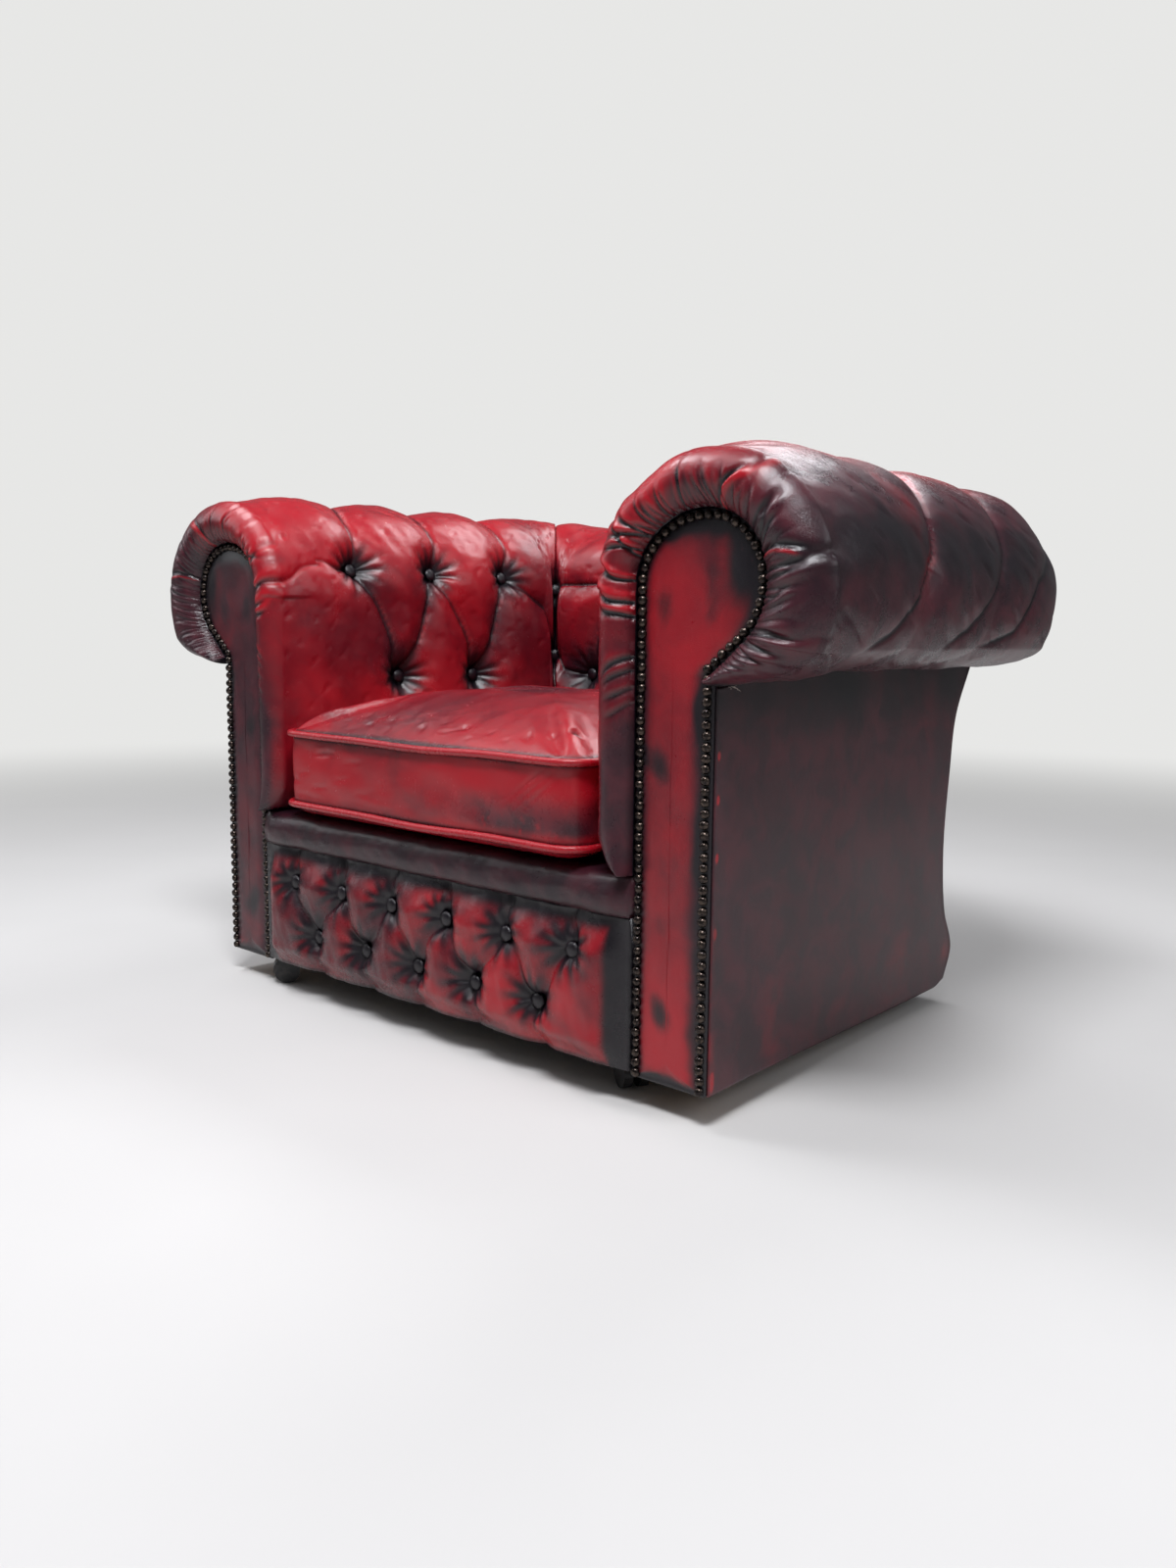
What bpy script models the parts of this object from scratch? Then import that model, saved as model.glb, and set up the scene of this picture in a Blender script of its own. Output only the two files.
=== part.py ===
"""Button-tufted rolled-arm club chair on four twin-wheel castors.

Units are metres, +Z is up, the chair faces -Y and the origin is on the floor under the
middle of its outline. Left is the -X side.
"""

import math

import bmesh
import bpy

# Fits
GAP = 0.0003
SNUG = 0.0005

# Arm and back, seen as one upholstered roll bent round the seat
ARM_CENTRE_FRONT = 0.4176      # half the distance between the two scroll centres at the front
ARM_TAPER = 0.042              # how far the arms close in per metre towards the back
ROLL_LINE_DEPTH = 0.6425       # facing plane to the centre line of the back's roll
CORNER_BEND = 0.150            # bend of the roll's centre line at the rear corners
SCROLL_HEIGHT = 0.549          # height of the scroll centre
PAD_BOTTOM = 0.2500            # lowest edge of the inner pads, and of the loose cushion
PAD_REACH = 0.139              # scroll centre to the seat face of the pads
PAD_CORNER = 0.042             # rounding of the pads' lower edge
ROLL_RADIUS = 0.1445
ROLL_SHIFT_OUT = 0.0055        # the roll's own centre lies outside the scroll centre
ROLL_SHIFT_DOWN = 0.003
ROLL_END_ANGLE = -25.0         # degrees, where the round of the roll turns under
UNDERSIDE_BELLY = (0.105, 0.446)
CREASE_OFFSET = 0.0135         # where the roll meets the outside panel
CREASE_HEIGHT = 0.4500
CREASE_RISE = 0.0150           # the crease climbs behind the arm front
CREASE_RISE_RUN = 0.1200
CREASE_CLEAR = 0.0015          # the outside panels stop this far under the roll
BACK_LEAN = 0.25               # rake of the inner back below the roll
LEAN_START = 0.460

# Keyhole shape of the arm fronts
NECK_INNER = 0.0836            # scroll centre to the inner edge of the neck
NECK_OUTER = 0.0114            # scroll centre to the outer edge of the neck
SCROLL_RADIUS = 0.0730
SCROLL_TOP = 0.0712
NECK_MEETS = 0.4600            # height where the scroll runs into the outer edge
ARM_FRONT_BOTTOM = 0.0335
FACING_THICK = 0.0065
SCROLL_BOARD_THICK = 0.0220

# Gathered front end of the rolls
END_BULGE = 0.0240
END_ROUND = 0.0300
END_COVER = 0.0020             # the cover stands this far in front of the facing's edge
EDGE_COVER = 0.0045            # thickness of the cover where it meets the facing
END_SHAPE = ((0.0, 0.0), (0.30, 0.85), (0.68, 0.95), (0.92, 0.45))

# Tufting of the arms and back
BUTTON_FIRST = 0.1300          # facing plane to the first button of the upper row
BUTTON_PITCH = 0.1460
BUTTON_STAGGER = 0.0790
BUTTON_UPPER = 0.5940
BUTTON_LOWER = 0.4325
CORNER_UPPER = 0.5750
CORNER_LOWER = 0.4620
BACK_PITCH = 0.1290
BUTTON_SINK = 0.0320
PLEAT_SINK = 0.0130
ROLL_PLEAT_SINK = 0.0085
PLEAT_WIDTH = 0.0560
ROLL_PLEAT_DRIFT = 0.0330
RIGHT_PLEATS = ((0.0, 0.150, 0.060), (0.0095, 0.290, 0.115), (0.0095, 0.500, 0.280))
ROLL_SHOULDER = 0.0080         # the roll's top eases down by this towards its front end
SHOULDER_RUN = 0.0900
BACK_DROP = 0.0140             # the back's roll lies this much lower than the corners
BACK_DROP_RUN = 0.1200

# Outside panels
PANEL_THICK = 0.0060
PANEL_SHIFT = 0.0131           # outside face of the arm panels from the arm's centre line
REAR_HALF_WIDTH = 0.3990
SIDE_BOTTOM_FRONT = 0.0335
SIDE_BOTTOM_REAR = 0.0240
REAR_PROFILE = (               # height and distance behind the facing plane
    (0.024, 0.590),
    (0.062, 0.610),
    (0.120, 0.585),
    (0.200, 0.5715),
    (0.320, 0.580),
    (0.400, 0.594),
    (0.465, 0.634),
)

# Seat
RAIL_BOTTOM = 0.0400
RAIL_TOP = 0.2000
WEB_THICK = 0.0025
DECK_TOP = PAD_BOTTOM - GAP
LIP_BOTTOM = 0.2043
LIP_REACH = 0.0150             # how far the lip stands in front of the facing plane
PANEL_BOTTOM = 0.0385
PANEL_EDGE = 0.0040
PANEL_BULGE = 0.0200
PANEL_BUTTON_SINK = 0.0170
PANEL_BUTTON_UPPER = 0.1580
PANEL_BUTTON_LOWER = 0.0900
PANEL_BUTTON_PITCH = 0.1025
PANEL_PLEAT_WIDTH = 0.0300
CUSHION_HALF_FRONT = 0.2740
CUSHION_HALF_REAR = 0.2540
CUSHION_REACH = 0.0285         # how far the cushion stands in front of the facing plane
CUSHION_REAR = 0.4620
CUSHION_CORNER = 0.0320
CUSHION_SEAM_LOW = 0.2680
CUSHION_SEAM_HIGH = 0.3620
CUSHION_CROWN = 0.4200
CUSHION_SIDE_BELLY = 0.0070
PIPING_RADIUS = 0.0042

# Timber
TIMBER = 0.0320
FRONT_RAIL_THICK = 0.0450
TOP_RAIL_PLACE = 0.39          # share of the height from the crease to the scroll centre
TOP_RAIL_CLEAR = 0.0030
POST_WIDE = 0.0500
POST_DEEP = 0.0400
POST_OUTER = 0.3850
POST_FRONT = 0.4780            # facing plane to the foot of the back posts
POST_RAKE = 0.130
POST_TOP = 0.5700
BLOCK_SIZE = 0.0700
BLOCK_HIGH = 0.0600

# Dome nails
NAIL_INSET = 0.0062
NAIL_PITCH = 0.0110
NAIL_RADIUS = 0.0053
NAIL_NECK = 0.0030
NAIL_HIGH = 0.0038
NAIL_LOW = 0.0016

# Castors
WHEEL_RADIUS = 0.0180
WHEEL_WIDE = 0.0110
WHEEL_GAP = 0.0090
AXLE_RADIUS = 0.0030
CASTOR_TRAIL = 0.0190
HOOD_THICK = 0.0012
HOOD_CLEAR = 0.0004
WEB_WIDE = 0.0080
STEM_RADIUS = 0.0050
STEM_LONG = 0.0400
SOCKET_WALL = 0.0020
FRONT_CASTOR_X = 0.3140
FRONT_CASTOR_INSET = 0.0135    # into the front rail from its front face
REAR_CASTOR_X = 0.3600
WHEEL_SIDES = 24
CASTOR_HEADINGS = {            # degrees that each castor has swivelled at rest
    "front_left": 145.0,
    "front_right": 60.0,
    "rear_left": 35.0,
    "rear_right": 80.0,
}

# Derived places
TOP_RAIL_HIGH = SCROLL_HEIGHT - TOP_RAIL_CLEAR
TOP_RAIL_LOW = CREASE_HEIGHT + CREASE_RISE
TOP_RAIL_LOW += TOP_RAIL_PLACE * (SCROLL_HEIGHT - TOP_RAIL_LOW)
WHEEL_CENTRE = WHEEL_RADIUS * math.cos(math.pi / WHEEL_SIDES)
ROLL_REACH = ROLL_SHIFT_OUT + ROLL_RADIUS
OVERALL_DEPTH = CUSHION_REACH + ROLL_LINE_DEPTH + ROLL_REACH
FACING_Y = CUSHION_REACH - OVERALL_DEPTH / 2
BEND_Y = FACING_Y + ROLL_LINE_DEPTH - CORNER_BEND
TAPER_ANGLE = math.atan(ARM_TAPER)
STRAIGHT_END_Y = BEND_Y + CORNER_BEND * math.sin(TAPER_ANGLE)
STRAIGHT_END_X = ARM_CENTRE_FRONT - ARM_TAPER * (STRAIGHT_END_Y - FACING_Y)
BEND_X = STRAIGHT_END_X - CORNER_BEND * math.cos(TAPER_ANGLE)
STRAIGHT_LENGTH = (STRAIGHT_END_Y - FACING_Y) / math.cos(TAPER_ANGLE)
BEND_LENGTH = CORNER_BEND * (math.pi / 2 - TAPER_ANGLE)
MITRE_AT = STRAIGHT_LENGTH + BEND_LENGTH / 2
MITRE_ANGLE = (TAPER_ANGLE + math.pi / 2) / 2
BACK_MIDDLE_AT = STRAIGHT_LENGTH + BEND_LENGTH + BEND_X
BOARD_REAR = FACING_Y + FACING_THICK + SCROLL_BOARD_THICK + 2 * GAP
INSIDE_HALF = ARM_CENTRE_FRONT - ARM_TAPER * (BOARD_REAR - FACING_Y) - NECK_INNER - SNUG
SIDES = {"left": -1.0, "right": 1.0}

LEATHER = ((0.235, 0.012, 0.016), 0.38, 0.0)
LEATHER_DARK = ((0.060, 0.008, 0.014), 0.42, 0.0)
TIMBER_FINISH = ((0.420, 0.270, 0.140), 0.75, 0.0)
CLOTH = ((0.035, 0.033, 0.032), 0.95, 0.0)
WEBBING = ((0.330, 0.250, 0.160), 0.95, 0.0)
BRASS = ((0.150, 0.095, 0.050), 0.45, 0.85)
CASTOR_PLASTIC = ((0.018, 0.018, 0.019), 0.50, 0.0)
STEEL = ((0.420, 0.420, 0.430), 0.40, 0.9)


def clear_scene():
    for thing in list(bpy.data.objects):
        bpy.data.objects.remove(thing, do_unlink=True)


def finish(name, look):
    colour, roughness, metallic = look
    material = bpy.data.materials.new(name)
    material.use_nodes = True
    shader = material.node_tree.nodes["Principled BSDF"]
    shader.inputs["Base Color"].default_value = (*colour, 1.0)
    shader.inputs["Roughness"].default_value = roughness
    shader.inputs["Metallic"].default_value = metallic
    return material


def add_body(name, points, faces, look, smooth=False):
    """One closed body from points and faces, with its faces turned outwards."""
    mesh = bpy.data.meshes.new(name)
    mesh.from_pydata([tuple(point) for point in points], [], faces)
    shape = bmesh.new()
    shape.from_mesh(mesh)
    bmesh.ops.recalc_face_normals(shape, faces=shape.faces)
    shape.to_mesh(mesh)
    shape.free()
    if smooth:
        mesh.shade_smooth()
        mesh.set_sharp_from_angle(angle=math.radians(40))
    body = bpy.data.objects.new(name, mesh)
    bpy.context.scene.collection.objects.link(body)
    mesh.materials.append(finish(name, look))
    return body


def loft(name, rings, look, smooth=True):
    """Skin a row of rings that all have the same number of points, and close both ends."""
    count = len(rings[0])
    points = [point for ring in rings for point in ring]
    faces = []
    for row in range(len(rings) - 1):
        low = row * count
        for step in range(count):
            after = (step + 1) % count
            faces.append((low + step, low + after, low + count + after, low + count + step))
    faces.append(tuple(reversed(range(count))))
    faces.append(tuple(range(len(points) - count, len(points))))
    return add_body(name, points, faces, look, smooth)


def block(name, low, high, look):
    """A box between two corners."""
    ring = [(low[0], low[1]), (high[0], low[1]), (high[0], high[1]), (low[0], high[1])]
    rings = [[(x, y, z) for x, y in ring] for z in (low[2], high[2])]
    return loft(name, rings, look, smooth=False)


def upright_prism(name, plan, low, high, look):
    """A plan outline pulled up between two heights."""
    return loft(name, [[(x, y, z) for x, y in plan] for z in (low, high)], look, smooth=False)


def mix(start, end, share):
    return start + (end - start) * share


def ease(share):
    share = min(max(share, 0.0), 1.0)
    return share * share * (3.0 - 2.0 * share)


def arm_x(y, offset, side=1.0):
    """X of a line that runs beside the arm's centre line."""
    return side * (ARM_CENTRE_FRONT - ARM_TAPER * (y - FACING_Y) + offset)


def path_point(distance, offset, side=1.0):
    """Plan point at a distance along the bent centre line and an offset outwards from it."""
    if distance <= STRAIGHT_LENGTH:
        share = distance / STRAIGHT_LENGTH
        end_x = STRAIGHT_END_X + offset * math.cos(TAPER_ANGLE)
        end_y = STRAIGHT_END_Y + offset * math.sin(TAPER_ANGLE)
        x = mix(ARM_CENTRE_FRONT + offset / math.cos(TAPER_ANGLE), end_x, share)
        y = mix(FACING_Y, end_y, share)
    elif distance <= STRAIGHT_LENGTH + BEND_LENGTH:
        angle = TAPER_ANGLE + (distance - STRAIGHT_LENGTH) / CORNER_BEND
        x = BEND_X + (CORNER_BEND + offset) * math.cos(angle)
        y = BEND_Y + (CORNER_BEND + offset) * math.sin(angle)
    else:
        x = BEND_X - (distance - STRAIGHT_LENGTH - BEND_LENGTH)
        y = BEND_Y + CORNER_BEND + offset
    return side * x, y


def roll_point(distance, offset, height, side=1.0):
    """A point of the upholstery in space. The inner back leans below the roll."""
    x, y = path_point(distance, offset, side)
    if distance > MITRE_AT:
        room = (y - BEND_Y) - (abs(x) - BEND_X) * math.tan(MITRE_ANGLE) - GAP
        y -= min(BACK_LEAN * max(LEAN_START - height, 0.0), 0.7 * max(room, 0.0))
    return x, y, height


def roll_end():
    angle = math.radians(ROLL_END_ANGLE)
    return (
        ROLL_SHIFT_OUT + ROLL_RADIUS * math.cos(angle),
        SCROLL_HEIGHT - ROLL_SHIFT_DOWN + ROLL_RADIUS * math.sin(angle),
    )


def bezier(start, control, end, share):
    keep = 1.0 - share
    return tuple(
        keep * keep * a + 2.0 * keep * share * b + share * share * c
        for a, b, c in zip(start, control, end)
    )


def crease_rise(distance):
    """How much higher the crease lies at a distance behind the facing plane."""
    return CREASE_RISE * ease(distance / CREASE_RISE_RUN)


def roll_settle(distance, place):
    """How much lower the roll lies at its front end and along the back."""
    top = ease((place - 0.9) / 0.4) * ease((2.2 - place) / 0.4)
    shoulder = ROLL_SHOULDER * (1.0 - ease(distance / SHOULDER_RUN))
    return top * (shoulder + BACK_DROP * ease((distance - MITRE_AT) / BACK_DROP_RUN))


def outer_profile(place):
    """Offset and height on the covering. Place runs 0 to 1 up the pad, to 2 over the roll
    and to 3 along the underside to the crease."""
    if place <= 1.0:
        rise = SCROLL_HEIGHT - ROLL_SHIFT_DOWN - PAD_BOTTOM
        corner_share = 0.22
        if place < corner_share:
            angle = math.pi / 2 * place / corner_share
            return (
                -PAD_REACH + PAD_CORNER * (1.0 - math.sin(angle)),
                PAD_BOTTOM + PAD_CORNER * (1.0 - math.cos(angle)),
            )
        share = (place - corner_share) / (1.0 - corner_share)
        return -PAD_REACH, PAD_BOTTOM + mix(PAD_CORNER, rise, share)
    if place <= 2.0:
        angle = math.radians(mix(180.0, ROLL_END_ANGLE, place - 1.0))
        return (
            ROLL_SHIFT_OUT + ROLL_RADIUS * math.cos(angle),
            SCROLL_HEIGHT - ROLL_SHIFT_DOWN + ROLL_RADIUS * math.sin(angle),
        )
    return bezier(roll_end(), UNDERSIDE_BELLY, (CREASE_OFFSET, CREASE_HEIGHT), place - 2.0)


def keyhole(place, grow=0.0):
    """Offset and height on the keyhole outline, with the same places as the covering."""
    if place <= 1.0:
        return -NECK_INNER - grow, mix(PAD_BOTTOM, SCROLL_HEIGHT, place)
    if place <= 2.0:
        angle = math.radians(mix(180.0, -45.0, place - 1.0))
        if angle > math.pi / 2:
            across = NECK_INNER
            tall = SCROLL_TOP
        else:
            across = SCROLL_RADIUS
            tall = mix(SCROLL_RADIUS, SCROLL_TOP, ease(angle / (math.pi / 2)))
        return (
            (across + grow) * math.cos(angle),
            SCROLL_HEIGHT + (tall + grow) * math.sin(angle),
        )
    start = keyhole(2.0, grow)
    return (
        mix(start[0], NECK_OUTER + grow, place - 2.0),
        mix(start[1], NECK_MEETS - grow, place - 2.0),
    )


def place_of_height(height):
    """Place on the seat side of the covering that lies at a height."""
    low, high = 0.0, 1.5
    for _ in range(40):
        middle = (low + high) / 2
        if outer_profile(middle)[1] < height:
            low = middle
        else:
            high = middle
    return (low + high) / 2


def profile_length(place):
    """Length of the covering from its lower edge to a place."""
    steps = max(1, int(place / 0.02))
    points = [outer_profile(place * step / steps) for step in range(steps + 1)]
    return sum(math.dist(a, b) for a, b in zip(points, points[1:]))


def arm_buttons():
    """Distance along the path and height of each button on one arm."""
    upper = [(BUTTON_FIRST + BUTTON_PITCH * step, BUTTON_UPPER) for step in range(3)]
    lower = [
        (BUTTON_FIRST + BUTTON_STAGGER + BUTTON_PITCH * step, BUTTON_LOWER) for step in range(2)
    ]
    return upper, lower


def back_buttons():
    """Distance from the middle of the back and height of each of its buttons."""
    upper = [(BACK_PITCH * step, BUTTON_UPPER) for step in (-1, 0, 1)]
    lower = [(BACK_PITCH * (step + 0.5), BUTTON_LOWER) for step in (-2, -1, 0, 1)]
    return upper, lower


def crease(start, end, sink_start, sink_end, sink_middle, width=PLEAT_WIDTH):
    return (start, end, sink_start, sink_end, sink_middle, width)


def chart(button):
    """Turn a button's distance and height into chart coordinates."""
    distance, height = button
    return distance, profile_length(place_of_height(height))


def over_the_roll(button, top_at=None, foot_at=None, foot_sink=ROLL_PLEAT_SINK):
    """Pleat from a button over the top of the roll to the crease under it."""
    start = chart(button)
    if top_at is None:
        top_at = foot_at = start[0] + ROLL_PLEAT_DRIFT
    top = (top_at, profile_length(1.45))
    foot = (foot_at, profile_length(3.0))
    return [
        crease(start, top, BUTTON_SINK, ROLL_PLEAT_SINK, ROLL_PLEAT_SINK),
        crease(top, foot, ROLL_PLEAT_SINK, foot_sink, foot_sink),
    ]


def drop_to_seat(button):
    start = chart(button)
    return crease(start, (start[0], 0.0), BUTTON_SINK, 0.0, PLEAT_SINK * 0.6)


def diamonds(upper, lower):
    """Pleats between neighbouring buttons of the two rows."""
    found = []
    for high in upper:
        for low in lower:
            if abs(high[0] - low[0]) < BUTTON_PITCH * 0.75:
                ends = (chart(high), chart(low))
                found.append(crease(*ends, BUTTON_SINK, BUTTON_SINK, PLEAT_SINK))
    return found


def corner_pleats(at):
    """The straight pleat with two buttons where an arm meets the back."""
    upper = (at, CORNER_UPPER)
    lower = (at, CORNER_LOWER)
    pleats = over_the_roll(upper)
    pleats.append(crease(chart(upper), chart(lower), BUTTON_SINK, BUTTON_SINK, BUTTON_SINK * 0.8))
    pleats.append(drop_to_seat(lower))
    return pleats


def arm_creases(side):
    upper, lower = arm_buttons()
    corner = (MITRE_AT, CORNER_LOWER)
    pleats = diamonds(upper, lower)
    for button, (foot_sink, top_at, foot_at) in zip(upper, RIGHT_PLEATS):
        if side > 0:
            pleats += over_the_roll(button, top_at, foot_at, foot_sink)
        else:
            pleats += over_the_roll(button)
    for button in lower:
        pleats.append(drop_to_seat(button))
    front = (0.0, chart(upper[0])[1] - 0.010)
    pleats.append(crease(chart(upper[0]), front, BUTTON_SINK, 0.0, PLEAT_SINK * 0.7))
    pleats.append(crease(chart(upper[-1]), chart(corner), BUTTON_SINK, BUTTON_SINK, PLEAT_SINK))
    pleats += corner_pleats(MITRE_AT)
    return pleats


def back_creases():
    upper, lower = back_buttons()
    pleats = diamonds(upper, lower)
    for button in upper:
        pleats += over_the_roll((button[0] - ROLL_PLEAT_DRIFT, button[1]))[1:]
        start = chart(button)
        top = (start[0], profile_length(1.45))
        pleats.append(crease(start, top, BUTTON_SINK, ROLL_PLEAT_SINK, ROLL_PLEAT_SINK))
    for button in lower:
        pleats.append(drop_to_seat(button))
    for end in (-1.0, 1.0):
        mitre = end * (BACK_MIDDLE_AT - MITRE_AT)
        pleats += [
            crease((mitre, chart((mitre, height))[1]), chart(button), BUTTON_SINK, BUTTON_SINK, PLEAT_SINK)
            for height, button in (
                (CORNER_UPPER, (end * BACK_PITCH, BUTTON_UPPER)),
                (CORNER_LOWER, (end * BACK_PITCH * 1.5, BUTTON_LOWER)),
            )
        ]
        pleats.append(crease(
            (mitre, chart((mitre, CORNER_UPPER))[1]), (mitre, 0.0), BUTTON_SINK, 0.0, BUTTON_SINK * 0.8
        ))
        pleats.append(crease(
            (mitre, chart((mitre, CORNER_UPPER))[1]), (mitre, profile_length(3.0)),
            BUTTON_SINK, ROLL_PLEAT_SINK, ROLL_PLEAT_SINK,
        ))
    return pleats


def sink_at(point, pleats):
    """How deep the cover is pulled in at a chart point, from all pleats near it."""
    total = 0.0
    for start, end, sink_start, sink_end, sink_middle, width in pleats:
        run = (end[0] - start[0], end[1] - start[1])
        length = math.hypot(*run)
        share = ((point[0] - start[0]) * run[0] + (point[1] - start[1]) * run[1]) / length**2
        share = min(max(share, 0.0), 1.0)
        away = math.hypot(
            point[0] - start[0] - run[0] * share, point[1] - start[1] - run[1] * share
        )
        if away < width:
            near_start = max(0.0, 1.0 - share * length / width)
            near_end = max(0.0, 1.0 - (1.0 - share) * length / width)
            depth = sink_middle
            depth += max(sink_start - sink_middle, 0.0) * near_start**1.5
            depth += max(sink_end - sink_middle, 0.0) * near_end**1.5
            total += (depth * (1.0 - away / width) ** 1.6) ** 4
    return total**0.25


def outward(place):
    """Unit direction out of the covering in the cross-section."""
    before = outer_profile(max(place - 0.01, 0.0))
    after = outer_profile(min(place + 0.01, 3.0))
    run = (after[0] - before[0], after[1] - before[1])
    length = math.hypot(*run)
    return -run[1] / length, run[0] / length


PAD_PLACES = sorted(
    [0.0, 0.08, 0.16, 0.24, 0.40, 0.52, 0.74, 0.88, 1.10, 1.30, 1.42, 1.54, 1.66, 1.78, 1.90]
    + [place_of_height(BUTTON_LOWER), place_of_height(BUTTON_UPPER), 2.0, 2.25, 2.60, 3.0]
)
ARC_STEPS = 9
INNER_PLACES = [3.0] + [2.0 - step / ARC_STEPS for step in range(ARC_STEPS + 1)] + [0.0]


def pad_ring(distance, pleats, side, chart_shift=0.0, share=1.0, forward=0.0, rim_forward=0.0):
    """One closed cross-section of an upholstered pad. Share is 1 for the full roll and 0 where
    the cover has reached the edge of the facing, and forward moves the cover over that edge."""
    ring = []
    for place in PAD_PLACES:
        offset, height = outer_profile(place)
        sink = sink_at((distance - chart_shift, profile_length(place)), pleats)
        sink *= ease((3.0 - place) / 0.25)
        across, up = outward(place)
        offset -= sink * across
        height -= sink * up
        edge = keyhole(place, EDGE_COVER)
        height += crease_rise(distance) * max(place - 2.0, 0.0) - roll_settle(distance, place)
        offset = mix(edge[0], offset, share)
        height = mix(edge[1], height, share)
        ring.append((offset, height))
    inner = [keyhole(place, GAP) for place in INNER_PLACES]
    inner[0] = (inner[0][0], inner[0][1] + crease_rise(distance))
    solid = []
    for points, shift in ((ring, forward), (inner, rim_forward)):
        for offset, height in points:
            x, y, z = roll_point(distance, offset, height, side)
            solid.append((x, y - shift, z))
    return solid


def inner_arm(name, side):
    """Tufted pad and roll of one arm, as far as the mitre in the rear corner."""
    pleats = arm_creases(side)
    rings = []
    for index, (share, bulge) in enumerate(END_SHAPE):
        rim = END_COVER * (1.0 - index / len(END_SHAPE))
        rings.append(pad_ring(0.0, [], side, 0.0, share, END_COVER + END_BULGE * bulge, rim))
    step = BUTTON_STAGGER / 2
    stops = [END_ROUND * 0.3, END_ROUND * 1.5]
    stops += [BUTTON_FIRST - 1.3 * step, BUTTON_FIRST - 0.5 * step]
    at = BUTTON_FIRST
    while at < STRAIGHT_LENGTH - 0.3 * step:
        stops.append(at)
        at += step
    stops.append(STRAIGHT_LENGTH)
    stops += [STRAIGHT_LENGTH + BEND_LENGTH * share for share in (0.17, 0.34)]
    stops.append(MITRE_AT - GAP / 2)
    rings += [pad_ring(stop, pleats, side) for stop in stops]
    return loft(name, rings, LEATHER)


def inner_back():
    """Tufted pad and roll of the back, between the two mitres."""
    pleats = back_creases()
    step = BACK_PITCH / 4
    half = [MITRE_AT + GAP / 2]
    half += [STRAIGHT_LENGTH + BEND_LENGTH * share for share in (0.66, 0.83, 1.0)]
    inner = []
    at = BACK_MIDDLE_AT
    while at > half[-1] + 0.3 * step:
        inner.append(at)
        at -= step
    half += reversed(inner)
    rings = [pad_ring(stop, pleats, 1.0, BACK_MIDDLE_AT) for stop in half]
    other = [pad_ring(stop, pleats, -1.0, BACK_MIDDLE_AT) for stop in half[:-1]]
    rings += reversed(other)
    return loft("inner_back", rings, LEATHER)


def facing_outline(grow=0.0, outer_cut=0.0, bottom=ARM_FRONT_BOTTOM):
    """Keyhole outline of an arm front, from its inner foot round the scroll to its outer foot."""
    outline = [(-NECK_INNER - grow, bottom - grow)]
    outline += [keyhole(1.0 + step / ARC_STEPS, grow) for step in range(ARC_STEPS + 1)]
    meets = keyhole(3.0, grow)
    outline.append((meets[0] - outer_cut, meets[1]))
    outline.append((meets[0] - outer_cut, bottom - grow))
    return outline


def keyhole_slab(name, side, front, thick, look, outer_cut=0.0, bottom=ARM_FRONT_BOTTOM):
    rings = []
    for y in (front, front + thick):
        rings.append([
            (arm_x(y, offset, side), y, height)
            for offset, height in facing_outline(0.0, outer_cut, bottom)
        ])
    return loft(name, rings, look, smooth=False)


def nail_route(side):
    """Points spaced half a nail apart along the nail line of one arm front."""
    outline = facing_outline(-NAIL_INSET)
    outline[0] = (outline[0][0], ARM_FRONT_BOTTOM + NAIL_RADIUS + GAP)
    outline[-1] = (outline[-1][0], ARM_FRONT_BOTTOM + NAIL_RADIUS + GAP)
    lengths = [math.dist(a, b) for a, b in zip(outline, outline[1:])]
    count = round(sum(lengths) / NAIL_PITCH)
    spacing = sum(lengths) / count / 2
    route = []
    for step in range(2 * count + 1):
        left = min(step * spacing, sum(lengths) - 1e-9)
        for start, end, length in zip(outline, outline[1:], lengths):
            if left <= length:
                run = ((end[0] - start[0]) / length, (end[1] - start[1]) / length)
                route.append(((start[0] + run[0] * left, start[1] + run[1] * left), run))
                break
            left -= length
    return route


def nail_row(name, side):
    """A close row of dome nails, each touching the next."""
    rings = []
    for step, ((offset, height), run) in enumerate(nail_route(side)):
        on_nail = step % 2 == 0
        half = NAIL_RADIUS if on_nail else NAIL_NECK
        rise = NAIL_HIGH if on_nail else NAIL_LOW
        base = FACING_Y - GAP
        x = side * (ARM_CENTRE_FRONT + offset)
        rings.append([
            (x - side * run[1] * half, base, height + run[0] * half),
            (x, base - rise, height),
            (x + side * run[1] * half, base, height - run[0] * half),
        ])
    return loft(name, rings, BRASS)


def rear_y(height):
    """Y of the outside back at a height, on a smooth curve through the profile's points."""
    rows = REAR_PROFILE
    height = min(max(height, rows[0][0]), rows[-1][0])
    for index in range(len(rows) - 1):
        if height <= rows[index + 1][0]:
            break
    before = rows[max(index - 1, 0)]
    start, end = rows[index], rows[index + 1]
    after = rows[min(index + 2, len(rows) - 1)]
    span = end[0] - start[0]
    share = (height - start[0]) / span
    slope_start = (end[1] - before[1]) / (end[0] - before[0]) * span
    slope_end = (after[1] - start[1]) / (after[0] - start[0]) * span
    s2, s3 = share * share, share**3
    value = (2 * s3 - 3 * s2 + 1) * start[1] + (s3 - 2 * s2 + share) * slope_start
    value += (3 * s2 - 2 * s3) * end[1] + (s3 - s2) * slope_end
    return FACING_Y + value


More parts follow.
